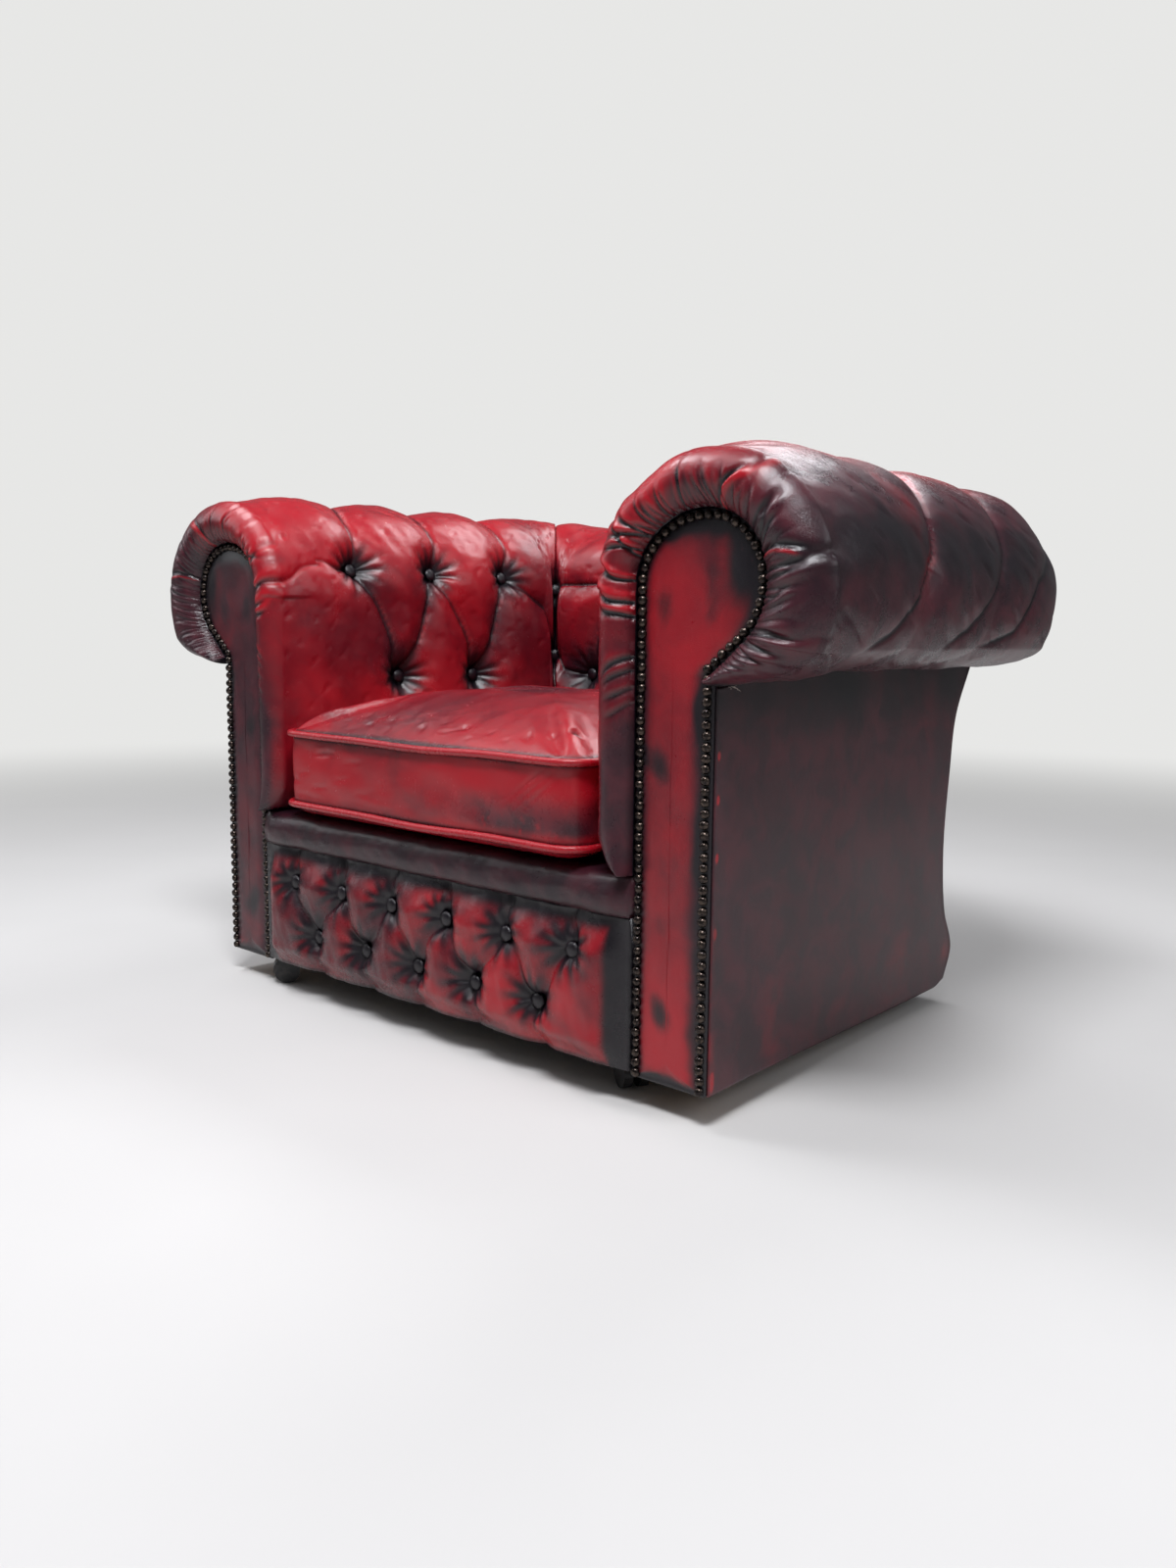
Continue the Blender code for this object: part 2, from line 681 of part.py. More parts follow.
def underside_height(x, y):
    """Height of the roll's underside above a plan point outside the crease."""
    x = abs(x)
    if y > BEND_Y and x > BEND_X:
        offset = math.hypot(x - BEND_X, y - BEND_Y) - CORNER_BEND
    elif x > BEND_X:
        offset = (x - arm_x(y, 0.0)) * math.cos(TAPER_ANGLE)
    else:
        offset = y - BEND_Y - CORNER_BEND
    if offset <= CREASE_OFFSET:
        return CREASE_HEIGHT + crease_rise(y - FACING_Y)
    low, high = 0.0, 1.0
    for _ in range(40):
        middle = (low + high) / 2
        if bezier(roll_end(), UNDERSIDE_BELLY, (CREASE_OFFSET, CREASE_HEIGHT), middle)[0] > offset:
            low = middle
        else:
            high = middle
    height = bezier(roll_end(), UNDERSIDE_BELLY, (CREASE_OFFSET, CREASE_HEIGHT), low)[1]
    return height + CREASE_RISE * low


def side_bottom(y):
    share = (y - FACING_Y) / (rear_y(SIDE_BOTTOM_REAR) - FACING_Y)
    return mix(SIDE_BOTTOM_FRONT, SIDE_BOTTOM_REAR, ease(share))


def outside_arm(name, side):
    """Flat outside panel of an arm, whose rear edge follows the shape of the back."""
    heights = [row[0] for row in REAR_PROFILE]
    levels = []
    for low, high in zip(heights, heights[1:]):
        levels += [low, (low + high) / 2]
    levels.append(heights[-1])
    rings = []
    for level in levels:
        share = (level - levels[0]) / (levels[-1] - levels[0])
        ring = []
        for at, inset in ((0.0, 0.0), (1 / 3, 0.0), (2 / 3, 0.0), (1.0, 0.0),
                          (1.0, PANEL_THICK), (2 / 3, PANEL_THICK), (1 / 3, PANEL_THICK),
                          (0.0, PANEL_THICK)):
            front = FACING_Y + FACING_THICK + GAP
            y = mix(front, rear_y(level), at)
            low = side_bottom(y)
            x = arm_x(y, PANEL_SHIFT - inset, side)
            high = underside_height(x, y) - CREASE_CLEAR
            ring.append((x, y, mix(low, high, share)))
        rings.append(ring)
    return loft(name, rings, LEATHER_DARK)


def outside_back():
    """Outside back panel between the two arm panels."""
    heights = [row[0] for row in REAR_PROFILE]
    rings = []
    levels = []
    for low, high in zip(heights, heights[1:]):
        levels += [low, (low + high) / 2]
    levels.append(heights[-1])
    for level in levels:
        share = (level - levels[0]) / (levels[-1] - levels[0])
        y = rear_y(level)
        half_width = arm_x(y, PANEL_SHIFT - PANEL_THICK) - GAP
        height = mix(SIDE_BOTTOM_REAR, underside_height(half_width, y) - CREASE_CLEAR, share)
        rings.append([
            (-half_width, y, height),
            (half_width, y, height),
            (half_width, y - PANEL_THICK, height),
            (-half_width, y - PANEL_THICK, height),
        ])
    return loft("outside_back", rings, LEATHER_DARK)


def front_panel():
    """Tufted panel that covers the front rail, with two staggered rows of buttons."""
    half = INSIDE_HALF
    upper = [
        (PANEL_BUTTON_PITCH * (step - 2.5), PANEL_BUTTON_UPPER)
        for step in range(6)
    ]
    lower = [
        (PANEL_BUTTON_PITCH * (step - 2), PANEL_BUTTON_LOWER)
        for step in range(5)
    ]
    width = PANEL_PLEAT_WIDTH
    pleats = []
    for high in upper:
        top = (high[0], LIP_BOTTOM)
        pleats.append(crease(high, top, PANEL_BUTTON_SINK, 0.003, 0.005, width))
        for low in lower:
            if abs(high[0] - low[0]) < PANEL_BUTTON_PITCH:
                pleats.append(
                    crease(high, low, PANEL_BUTTON_SINK, PANEL_BUTTON_SINK, 0.008, width)
                )
    for low in lower:
        foot = (low[0], PANEL_BOTTOM)
        pleats.append(crease(low, foot, PANEL_BUTTON_SINK, 0.003, 0.005, width))

    columns = [-half]
    first = upper[0][0]
    quarter = PANEL_BUTTON_PITCH / 4
    steps = [first + quarter * step for step in range(-2, 23)]
    columns += [x for x in steps if -half + 0.4 * quarter < x < half - 0.4 * quarter]
    columns.append(half)
    top = LIP_BOTTOM - GAP
    middle = (PANEL_BUTTON_UPPER + PANEL_BUTTON_LOWER) / 2
    rows = [PANEL_BOTTOM, mix(PANEL_BOTTOM, PANEL_BUTTON_LOWER, 0.45), PANEL_BUTTON_LOWER]
    rows += [middle, PANEL_BUTTON_UPPER, mix(PANEL_BUTTON_UPPER, top, 0.5), top]
    rows.insert(3, (PANEL_BUTTON_LOWER + middle) / 2)
    rows.insert(5, (PANEL_BUTTON_UPPER + middle) / 2)

    rear = FACING_Y + SCROLL_BOARD_THICK
    rings = []
    for x in columns:
        ring = []
        for z in rows:
            swell = PANEL_BULGE * ease((half - abs(x)) / 0.05)
            swell *= ease(min(z - PANEL_BOTTOM, top - z) / 0.030) * 0.75 + 0.25
            y = FACING_Y - PANEL_EDGE - swell + sink_at((x, z), pleats)
            ring.append((x, y, z))
        ring.append((x, rear, top))
        ring.append((x, rear, PANEL_BOTTOM))
        rings.append(ring)
    return loft("front_rail_panel", rings, LEATHER)


def seat_deck():
    """Sprung platform under the cushion, whose front edge is the plain lip."""
    half = INSIDE_HALF
    rear = BEND_Y + CORNER_BEND - PAD_REACH
    front = FACING_Y - LIP_REACH
    low = LIP_BOTTOM
    nose = 0.012
    side_profile = [
        (FACING_Y + SNUG, low), (front + nose * 0.4, low), (front, low + nose),
        (front + nose * 0.2, DECK_TOP - nose), (front + nose, DECK_TOP), (rear, DECK_TOP), (rear, low),
    ]
    stops = [-half, -half + 0.02, 0.0, half - 0.02, half]
    rings = []
    for x in stops:
        flat = 0.55 if abs(x) == half else 0.0
        rings.append([
            (x, mix(y, FACING_Y, flat) if y < FACING_Y else y, z) for y, z in side_profile
        ])
    return loft("seat_deck", rings, LEATHER_DARK)


def rounded_plan(grow, drop=0.0):
    """Plan outline of the loose cushion, moved outwards by grow."""
    front = FACING_Y - CUSHION_REACH + CUSHION_SIDE_BELLY
    rear = FACING_Y + CUSHION_REAR - CUSHION_SIDE_BELLY
    corners = (
        (-CUSHION_HALF_FRONT, front, 180.0), (CUSHION_HALF_FRONT, front, 270.0),
        (CUSHION_HALF_REAR, rear, 0.0), (-CUSHION_HALF_REAR, rear, 90.0),
    )
    plan = []
    for x, y, start in corners:
        radius = CUSHION_CORNER
        inward_x = x - math.copysign(radius + CUSHION_SIDE_BELLY, x)
        inward_y = y + (radius if y == front else -radius)
        for step in range(4):
            angle = math.radians(start + 30.0 * step)
            plan.append((
                inward_x + (radius + grow) * math.cos(angle),
                inward_y + (radius + grow) * math.sin(angle),
            ))
    spread = []
    for here, after in zip(plan, plan[1:] + plan[:1]):
        spread.append(here)
        if math.dist(here, after) > 0.1:
            spread += [
                tuple(mix(a, b, share) for a, b in zip(here, after)) for share in (1 / 3, 2 / 3)
            ]
    return spread


def seat_cushion():
    """Loose box cushion with piping round both edges and a crowned top."""
    low, high = CUSHION_SEAM_LOW, CUSHION_SEAM_HIGH
    pipe = PIPING_RADIUS
    belly = CUSHION_SIDE_BELLY
    levels = [
        (-0.060, PAD_BOTTOM), (-0.018, PAD_BOTTOM + 0.004), (-pipe, low - pipe),
        (0.0, low), (-pipe, low + pipe), (belly, mix(low, high, 0.35)),
        (belly, mix(low, high, 0.65)), (-pipe, high - pipe), (0.0, high), (-pipe, high + pipe),
        (-0.030, mix(high, CUSHION_CROWN, 0.52)), (-0.085, mix(high, CUSHION_CROWN, 0.85)),
        (-0.170, CUSHION_CROWN),
    ]
    middle = (0.0, FACING_Y + (CUSHION_REAR - CUSHION_REACH) / 2)
    rings = []
    for grow, height in levels:
        plan = rounded_plan(max(grow, -CUSHION_CORNER * 0.8))
        if grow < -CUSHION_CORNER * 0.8:
            reach = 1.0 + (grow + CUSHION_CORNER * 0.8) / CUSHION_HALF_REAR
            plan = [
                (mix(middle[0], x, reach), mix(middle[1], y, reach)) for x, y in plan
            ]
        rings.append([(x, y, height) for x, y in plan])
    return loft("seat_cushion", rings, LEATHER)


def arm_block(name, side, offsets, reach, heights, look):
    """A timber that runs along the arm between two offsets, two depths and two heights."""
    plan = [
        (arm_x(reach[0], offsets[0], side), reach[0]), (arm_x(reach[0], offsets[1], side), reach[0]),
        (arm_x(reach[1], offsets[1], side), reach[1]), (arm_x(reach[1], offsets[0], side), reach[1]),
    ]
    return upright_prism(name, plan, heights[0], heights[1], look)


def post_front(height):
    return FACING_Y + POST_FRONT + POST_RAKE * (height - RAIL_BOTTOM)


def drill(body, name, centre, radius, low, high):
    """Cut a round upright hole with an EXACT Boolean."""
    bpy.ops.mesh.primitive_cylinder_add(
        vertices=16, radius=radius, depth=high - low,
        location=(centre[0], centre[1], (low + high) / 2),
    )
    cutter = bpy.context.object
    cutter.name = name
    cutter.hide_render = True
    cutter.display_type = "WIRE"
    cut = body.modifiers.new(name, "BOOLEAN")
    cut.operation = "DIFFERENCE"
    cut.solver = "EXACT"
    cut.object = cutter


def castor_places():
    """Plan point of each castor's swivel axis."""
    front = FACING_Y + SCROLL_BOARD_THICK + GAP + FRONT_CASTOR_INSET
    rear = post_front(RAIL_BOTTOM) + POST_DEEP / 2
    return {
        "front_left": (-FRONT_CASTOR_X, front),
        "front_right": (FRONT_CASTOR_X, front),
        "rear_left": (-REAR_CASTOR_X, rear),
        "rear_right": (REAR_CASTOR_X, rear),
    }


def timber_frame():
    """Rails, posts and corner blocks that the covers are fixed to."""
    places = castor_places()
    hole = STEM_RADIUS + SOCKET_WALL + GAP
    hole_top = RAIL_BOTTOM + STEM_LONG + SOCKET_WALL + 2 * GAP
    rail_front = FACING_Y + SCROLL_BOARD_THICK + GAP
    rail_rear = rail_front + FRONT_RAIL_THICK
    front_rail = block(
        "front_rail", (-INSIDE_HALF, rail_front, RAIL_BOTTOM), (INSIDE_HALF, rail_rear, RAIL_TOP), TIMBER_FINISH
    )
    for key in ("front_left", "front_right"):
        drill(front_rail, f"cut_{key}", places[key], hole, RAIL_BOTTOM - 0.01, hole_top)

    post_inner = POST_OUTER - POST_WIDE
    back_rail_front = post_front(RAIL_TOP)
    block(
        "back_rail", (-post_inner + GAP, back_rail_front, RAIL_BOTTOM),
        (post_inner - GAP, back_rail_front + TIMBER / 2, RAIL_TOP), TIMBER_FINISH,
    )
    top_y = BEND_Y + CORNER_BEND - NECK_INNER + GAP + SNUG
    block(
        "back_top_rail", (-post_inner + GAP, top_y, TOP_RAIL_LOW),
        (post_inner - GAP, top_y + TIMBER, TOP_RAIL_HIGH), TIMBER_FINISH,
    )
    for label, side in SIDES.items():
        rings = []
        for height in (RAIL_BOTTOM, POST_TOP):
            front = post_front(height)
            rings.append([
                (side * post_inner, front, height), (side * POST_OUTER, front, height),
                (side * POST_OUTER, front + POST_DEEP, height), (side * post_inner, front + POST_DEEP, height),
            ])
        post = loft(f"back_post_{label}", rings, TIMBER_FINISH, smooth=False)
        key = f"rear_{label}"
        drill(post, f"cut_{key}", places[key], hole, RAIL_BOTTOM - 0.01, hole_top)
        arm_block(
            f"side_rail_{label}", side, (NECK_OUTER - 0.006 - TIMBER, NECK_OUTER - 0.006),
            (BOARD_REAR, post_front(RAIL_BOTTOM) - GAP), (RAIL_BOTTOM, RAIL_TOP), TIMBER_FINISH,
        )
        arm_block(
            f"arm_top_rail_{label}", side, (-0.0550, 0.0250),
            (BOARD_REAR, post_front(TOP_RAIL_LOW) - GAP), (TOP_RAIL_LOW, TOP_RAIL_HIGH), TIMBER_FINISH,
        )
        front_corner = (side * (INSIDE_HALF - GAP), rail_rear + GAP)
        plan = [
            front_corner, (front_corner[0] - side * BLOCK_SIZE, front_corner[1]),
            (front_corner[0], front_corner[1] + BLOCK_SIZE),
        ]
        upright_prism(
            f"corner_block_front_{label}", plan, RAIL_TOP - BLOCK_HIGH, RAIL_TOP - GAP, TIMBER_FINISH
        )
        rear_corner = (side * (post_inner - GAP), back_rail_front - GAP)
        plan = [
            rear_corner, (rear_corner[0] - side * BLOCK_SIZE, rear_corner[1]),
            (rear_corner[0], rear_corner[1] - BLOCK_SIZE),
        ]
        upright_prism(
            f"corner_block_rear_{label}", plan, RAIL_TOP - BLOCK_HIGH, RAIL_TOP - GAP, TIMBER_FINISH
        )


def webbing():
    """Four straps across the rails that carry the seat deck."""
    front = FACING_Y + SCROLL_BOARD_THICK + 0.008
    rear = post_front(RAIL_TOP) + TIMBER / 2 - GAP
    for index in range(4):
        centre = (index - 1.5) * 0.130
        block(
            f"seat_web_{index + 1}", (centre - 0.025, front, RAIL_TOP + GAP),
            (centre + 0.025, rear, RAIL_TOP + GAP + WEB_THICK), WEBBING,
        )


def dust_cover():
    """Black cloth under the seat, cut away round the corner castors."""
    front = FACING_Y + SCROLL_BOARD_THICK + 0.010
    rear = post_front(RAIL_TOP) + TIMBER / 2 - 0.004
    half = INSIDE_HALF - 0.008
    narrow = FRONT_CASTOR_X - 0.030
    deep = FRONT_RAIL_THICK
    plan = [
        (-narrow, front), (narrow, front), (narrow, front + deep), (half, front + deep),
        (half, rear - deep), (narrow, rear - deep), (narrow, rear), (-narrow, rear),
        (-narrow, rear - deep), (-half, rear - deep), (-half, front + deep), (-narrow, front + deep),
    ]
    upright_prism("dust_cover", plan, RAIL_BOTTOM - GAP - 0.0010, RAIL_BOTTOM - GAP, CLOTH)


def turned(name, profile, sides, look):
    """A body turned about the X axis from pairs of X and radius, closed on its axis."""
    points = []
    faces = []
    rings = []
    for x, radius in profile:
        if radius == 0.0:
            rings.append([len(points)])
            points.append((x, 0.0, 0.0))
            continue
        ring = []
        for step in range(sides):
            angle = 2 * math.pi * (step + 0.5) / sides
            ring.append(len(points))
            points.append((x, radius * math.sin(angle), radius * math.cos(angle)))
        rings.append(ring)
    for first, second in zip(rings, rings[1:]):
        for step in range(sides):
            after = (step + 1) % sides
            if len(first) == 1:
                faces.append((first[0], second[step], second[after]))
            elif len(second) == 1:
                faces.append((first[step], second[0], first[after]))
            else:
                faces.append((first[step], second[step], second[after], first[after]))
    return add_body(name, points, faces, look, smooth=True)


def castor_housing(name):
    """Hood, web and stem of a twin-wheel castor, with its origin on the swivel axis."""
    hood_inner = WHEEL_RADIUS + HOOD_CLEAR
    hood_outer = hood_inner + HOOD_THICK
    half = WHEEL_GAP / 2 + WHEEL_WIDE
    web = WEB_WIDE / 2
    steps = 8
    arc = [math.radians(mix(-8.0, 168.0, step / steps)) for step in range(steps + 1)]
    outer = [(hood_outer * math.cos(a), hood_outer * math.sin(a)) for a in arc]
    inner = [(hood_inner * math.cos(a), hood_inner * math.sin(a)) for a in reversed(arc)]
    plan = [(y + CASTOR_TRAIL, z + WHEEL_CENTRE) for y, z in outer + inner]
    body = loft(name, [[(x, y, z) for y, z in plan] for x in (-half, half)], CASTOR_PLASTIC)

    boss = AXLE_RADIUS + 0.0035
    web_plan = [
        (CASTOR_TRAIL + hood_inner + HOOD_THICK / 2, WHEEL_CENTRE),
        (CASTOR_TRAIL + hood_inner * 0.72, WHEEL_CENTRE + hood_inner * 0.72),
        (CASTOR_TRAIL, WHEEL_CENTRE + hood_inner + HOOD_THICK / 2),
        (-STEM_RADIUS - 0.002, WHEEL_CENTRE + hood_inner + HOOD_THICK / 2),
        (-STEM_RADIUS - 0.002, WHEEL_CENTRE + hood_inner * 0.45),
        (CASTOR_TRAIL - boss, WHEEL_CENTRE - boss),
        (CASTOR_TRAIL + boss, WHEEL_CENTRE - boss),
    ]
    web_part = loft(f"{name}_web", [[(x, y, z) for y, z in web_plan] for x in (-web, web)], CASTOR_PLASTIC)
    stem_low = WHEEL_CENTRE + hood_inner * 0.6
    bpy.ops.mesh.primitive_cylinder_add(
        vertices=10, radius=STEM_RADIUS, depth=RAIL_BOTTOM + STEM_LONG - stem_low,
        location=(0.0, 0.0, (RAIL_BOTTOM + STEM_LONG + stem_low) / 2),
    )
    stem = bpy.context.object
    stem.name = f"{name}_stem"
    bpy.ops.mesh.primitive_cylinder_add(
        vertices=12, radius=AXLE_RADIUS + GAP, depth=WHEEL_GAP * 3,
        location=(0.0, CASTOR_TRAIL, WHEEL_CENTRE), rotation=(0.0, math.pi / 2, 0.0),
    )
    bore = bpy.context.object
    bore.name = f"{name}_bore"
    for helper, operation in ((web_part, "UNION"), (stem, "UNION"), (bore, "DIFFERENCE")):
        helper.hide_render = True
        helper.display_type = "WIRE"
        join = body.modifiers.new(helper.name, "BOOLEAN")
        join.operation = operation
        join.solver = "EXACT"
        join.object = helper
    return body, (web_part, stem, bore)


def castors():
    """Four swivelling castors, each a socket, a housing and a pair of wheels on one axle."""
    near = WHEEL_GAP / 2
    far = near + WHEEL_WIDE
    wheel_profile = (
        (-far, 0.0), (-far, WHEEL_RADIUS), (-near, WHEEL_RADIUS), (-near, AXLE_RADIUS),
        (near, AXLE_RADIUS), (near, WHEEL_RADIUS), (far, WHEEL_RADIUS), (far, 0.0),
    )
    for key, (x, y) in castor_places().items():
        heading = math.radians(CASTOR_HEADINGS[key])
        swivel = bpy.data.objects.new(f"swivel_{key}", None)
        bpy.context.scene.collection.objects.link(swivel)
        swivel.location = (x, y, 0.0)
        swivel.rotation_euler = (0.0, 0.0, heading)
        housing, helpers = castor_housing(f"castor_housing_{key}")
        for piece in (housing, *helpers):
            piece.parent = swivel
        wheels = turned(f"castor_wheels_{key}", wheel_profile, WHEEL_SIDES, CASTOR_PLASTIC)
        wheels.parent = swivel
        wheels.location = (0.0, CASTOR_TRAIL, WHEEL_CENTRE)
        socket_ring = [
            (math.cos(2 * math.pi * step / 16), math.sin(2 * math.pi * step / 16)) for step in range(16)
        ]
        wall_in = STEM_RADIUS + GAP
        wall_out = wall_in + SOCKET_WALL - GAP
        low = RAIL_BOTTOM + GAP
        top_in = RAIL_BOTTOM + STEM_LONG + GAP
        levels = ((wall_in, low), (wall_out, low), (wall_out, top_in + SOCKET_WALL))
        rings = [
            [(x + radius * a, y + radius * b, z) for a, b in socket_ring] for radius, z in levels
        ]
        points = [point for ring in rings for point in ring]
        points += [(x + wall_in * a, y + wall_in * b, top_in) for a, b in socket_ring]
        faces = []
        for row in range(2):
            for step in range(16):
                after = (step + 1) % 16
                faces.append((row * 16 + step, row * 16 + after, row * 16 + 16 + after, row * 16 + 16 + step))
        for step in range(16):
            after = (step + 1) % 16
            faces.append((step, 48 + step, 48 + after, after))
        faces.append(tuple(range(32, 48)))
        faces.append(tuple(range(48, 64)))
        add_body(f"castor_socket_{key}", points, faces, STEEL, smooth=True)


def main():
    clear_scene()
    timber_frame()
    webbing()
    dust_cover()
    for label, side in SIDES.items():
        front = FACING_Y
        keyhole_slab(f"arm_facing_{label}", side, front, FACING_THICK, LEATHER)
        keyhole_slab(
            f"scroll_board_{label}", side, front + FACING_THICK + GAP, SCROLL_BOARD_THICK,
            TIMBER_FINISH, NECK_OUTER - PANEL_SHIFT + PANEL_THICK + GAP, RAIL_BOTTOM,
        )
        nail_row(f"nail_row_{label}", side)
        inner_arm(f"inner_arm_{label}", side)
        outside_arm(f"outside_arm_{label}", side)
    inner_back()
    outside_back()
    front_panel()
    seat_deck()
    seat_cushion()
    castors()


main()
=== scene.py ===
import math

import bmesh
import bpy
import numpy as np
from mathutils import Matrix, Vector


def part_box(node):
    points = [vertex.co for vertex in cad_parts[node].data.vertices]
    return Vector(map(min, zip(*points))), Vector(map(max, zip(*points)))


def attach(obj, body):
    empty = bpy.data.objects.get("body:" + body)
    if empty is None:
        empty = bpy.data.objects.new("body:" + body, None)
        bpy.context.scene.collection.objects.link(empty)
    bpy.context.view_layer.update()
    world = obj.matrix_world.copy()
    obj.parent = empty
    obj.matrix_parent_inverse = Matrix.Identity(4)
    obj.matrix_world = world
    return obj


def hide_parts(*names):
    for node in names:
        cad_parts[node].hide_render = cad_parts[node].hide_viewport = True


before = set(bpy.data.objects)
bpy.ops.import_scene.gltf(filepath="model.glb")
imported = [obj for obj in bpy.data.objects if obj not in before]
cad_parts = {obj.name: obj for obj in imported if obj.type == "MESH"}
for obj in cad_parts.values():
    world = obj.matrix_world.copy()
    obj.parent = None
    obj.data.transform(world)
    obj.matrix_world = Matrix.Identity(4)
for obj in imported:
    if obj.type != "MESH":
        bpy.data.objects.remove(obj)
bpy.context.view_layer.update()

# The sizes that the covers share with the solids, in metres
GAP = 0.0003
ARM_CENTRE_FRONT = 0.4176
ARM_TAPER = 0.042
ROLL_LINE_DEPTH = 0.6425
CORNER_BEND = 0.150
SCROLL_HEIGHT = 0.549
PAD_BOTTOM = 0.2500
PAD_REACH = 0.139
PAD_CORNER = 0.042
ROLL_RADIUS = 0.1445
ROLL_SHIFT_OUT = 0.0055
ROLL_SHIFT_DOWN = 0.003
ROLL_END_ANGLE = -25.0
UNDERSIDE_BELLY = (0.105, 0.446)
CREASE_OFFSET = 0.0135
CREASE_HEIGHT = 0.4500
CREASE_RISE = 0.0150
CREASE_RISE_RUN = 0.1200
BACK_LEAN = 0.25
LEAN_START = 0.460
NECK_INNER = 0.0836
NECK_OUTER = 0.0114
SCROLL_RADIUS = 0.0730
SCROLL_TOP = 0.0712
NECK_MEETS = 0.4600
ARM_FRONT_BOTTOM = 0.0335
BUTTON_FIRST = 0.1300
BUTTON_PITCH = 0.1460
BUTTON_STAGGER = 0.0790
BUTTON_UPPER = 0.5940
BUTTON_LOWER = 0.4325
CORNER_UPPER = 0.5750
CORNER_LOWER = 0.4620
BACK_PITCH = 0.1290
NAIL_PITCH = 0.0110
NAIL_INSET = 0.0062

FACING_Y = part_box("arm_facing_right")[0].y
STRAIGHT_ANGLE = math.atan(ARM_TAPER)
BEND_Y = FACING_Y + ROLL_LINE_DEPTH - CORNER_BEND
STRAIGHT_END_Y = BEND_Y + CORNER_BEND * math.sin(STRAIGHT_ANGLE)
STRAIGHT_END_X = ARM_CENTRE_FRONT - ARM_TAPER * (STRAIGHT_END_Y - FACING_Y)
BEND_X = STRAIGHT_END_X - CORNER_BEND * math.cos(STRAIGHT_ANGLE)
STRAIGHT_LENGTH = (STRAIGHT_END_Y - FACING_Y) / math.cos(STRAIGHT_ANGLE)
BEND_LENGTH = CORNER_BEND * (math.pi / 2 - STRAIGHT_ANGLE)
MITRE_AT = STRAIGHT_LENGTH + BEND_LENGTH / 2
MITRE_ANGLE = (STRAIGHT_ANGLE + math.pi / 2) / 2
BACK_MIDDLE_AT = STRAIGHT_LENGTH + BEND_LENGTH + BEND_X


class Wire:
    """One socket of a material. Arithmetic on it adds Math nodes."""

    def __init__(self, recipe, socket):
        self.recipe = recipe
        self.socket = socket

    def sum(self, operation, first, second):
        return self.recipe.node("ShaderNodeMath", {"operation": operation}, [first, second])[0]

    def __add__(self, other):
        return self.sum("ADD", self, other)

    __radd__ = __add__

    def __sub__(self, other):
        return self.sum("SUBTRACT", self, other)

    def __rsub__(self, other):
        return self.sum("SUBTRACT", other, self)

    def __mul__(self, other):
        return self.sum("MULTIPLY", self, other)

    __rmul__ = __mul__

    def clamp(self, low=0.0, high=1.0):
        bounded = self.sum("MAXIMUM", self, low)
        return bounded.sum("MINIMUM", bounded, high)

    def step(self, low, high):
        """Smooth 0 to 1 as the value goes from low to high."""
        return self.recipe.node(
            "ShaderNodeMapRange", {"interpolation_type": "SMOOTHSTEP"}, [self, low, high, 0.0, 1.0]
        )[0]


class Recipe:
    """A material being made from nodes."""

    def __init__(self, name, rough=0.5, metal=0.0, specular=0.5):
        self.material = bpy.data.materials.new(name)
        self.material.use_nodes = True
        self.tree = self.material.node_tree
        self.shader = self.tree.nodes["Principled BSDF"]
        self.shader.inputs["Roughness"].default_value = rough
        self.shader.inputs["Metallic"].default_value = metal
        self.shader.inputs["Specular IOR Level"].default_value = specular
        self.place = self.node("ShaderNodeTexCoord", {})[3]

    def node(self, kind, settings, values=()):
        made = self.tree.nodes.new(kind)
        for key, setting in settings.items():
            if key == "stops":
                self.set_stops(made.color_ramp, setting)
            else:
                setattr(made, key, setting)
        pairs = values.items() if isinstance(values, dict) else enumerate(values)
        for key, value in pairs:
            if isinstance(value, Wire):
                self.tree.links.new(value.socket, made.inputs[key])
            elif value is not None:
                made.inputs[key].default_value = value
        return [Wire(self, socket) for socket in made.outputs]

    @staticmethod
    def set_stops(ramp, stops):
        while len(ramp.elements) < len(stops):
            ramp.elements.new(0.5)
        for element, (at, colour) in zip(ramp.elements, stops):
            element.position = at
            element.color = (*colour, 1.0)

    def noise(self, scale, detail=3.0, rough=0.5, twist=0.0, place=None):
        return self.node(
            "ShaderNodeTexNoise", {},
            {"Vector": place or self.place, "Scale": scale, "Detail": detail,
             "Roughness": rough, "Distortion": twist},
        )[0]

    def cells(self, scale, feature="F1"):
        return self.node(
            "ShaderNodeTexVoronoi", {"feature": feature}, {"Vector": self.place, "Scale": scale}
        )[0]

    def stretch(self, scale, turn=(0.0, 0.0, 0.0)):
        return self.node(
            "ShaderNodeMapping", {}, {"Vector": self.place, "Rotation": turn, "Scale": scale}
        )[0]

    def mark(self, name):
        """A number that the mesh carries at each point."""
        return self.node("ShaderNodeAttribute", {"attribute_name": name})[2]

    def blend(self, factor, first, second, mode="MIX"):
        return self.node(
            "ShaderNodeMix", {"data_type": "RGBA", "blend_type": mode},
            {0: factor, 6: self.paint(first), 7: self.paint(second)},
        )[2]

    @staticmethod
    def paint(colour):
        return colour if isinstance(colour, Wire) else (*colour, 1.0)

    def feed(self, name, value):
        self.tree.links.new(value.socket, self.shader.inputs[name])

    def relief(self, height, distance, strength=1.0):
        bump = self.node(
            "ShaderNodeBump", {}, {"Strength": strength, "Distance": distance, "Height": height}
        )[0]
        self.feed("Normal", bump)


WORN_RED = (0.370, 0.006, 0.014)
OXBLOOD = (0.120, 0.004, 0.010)


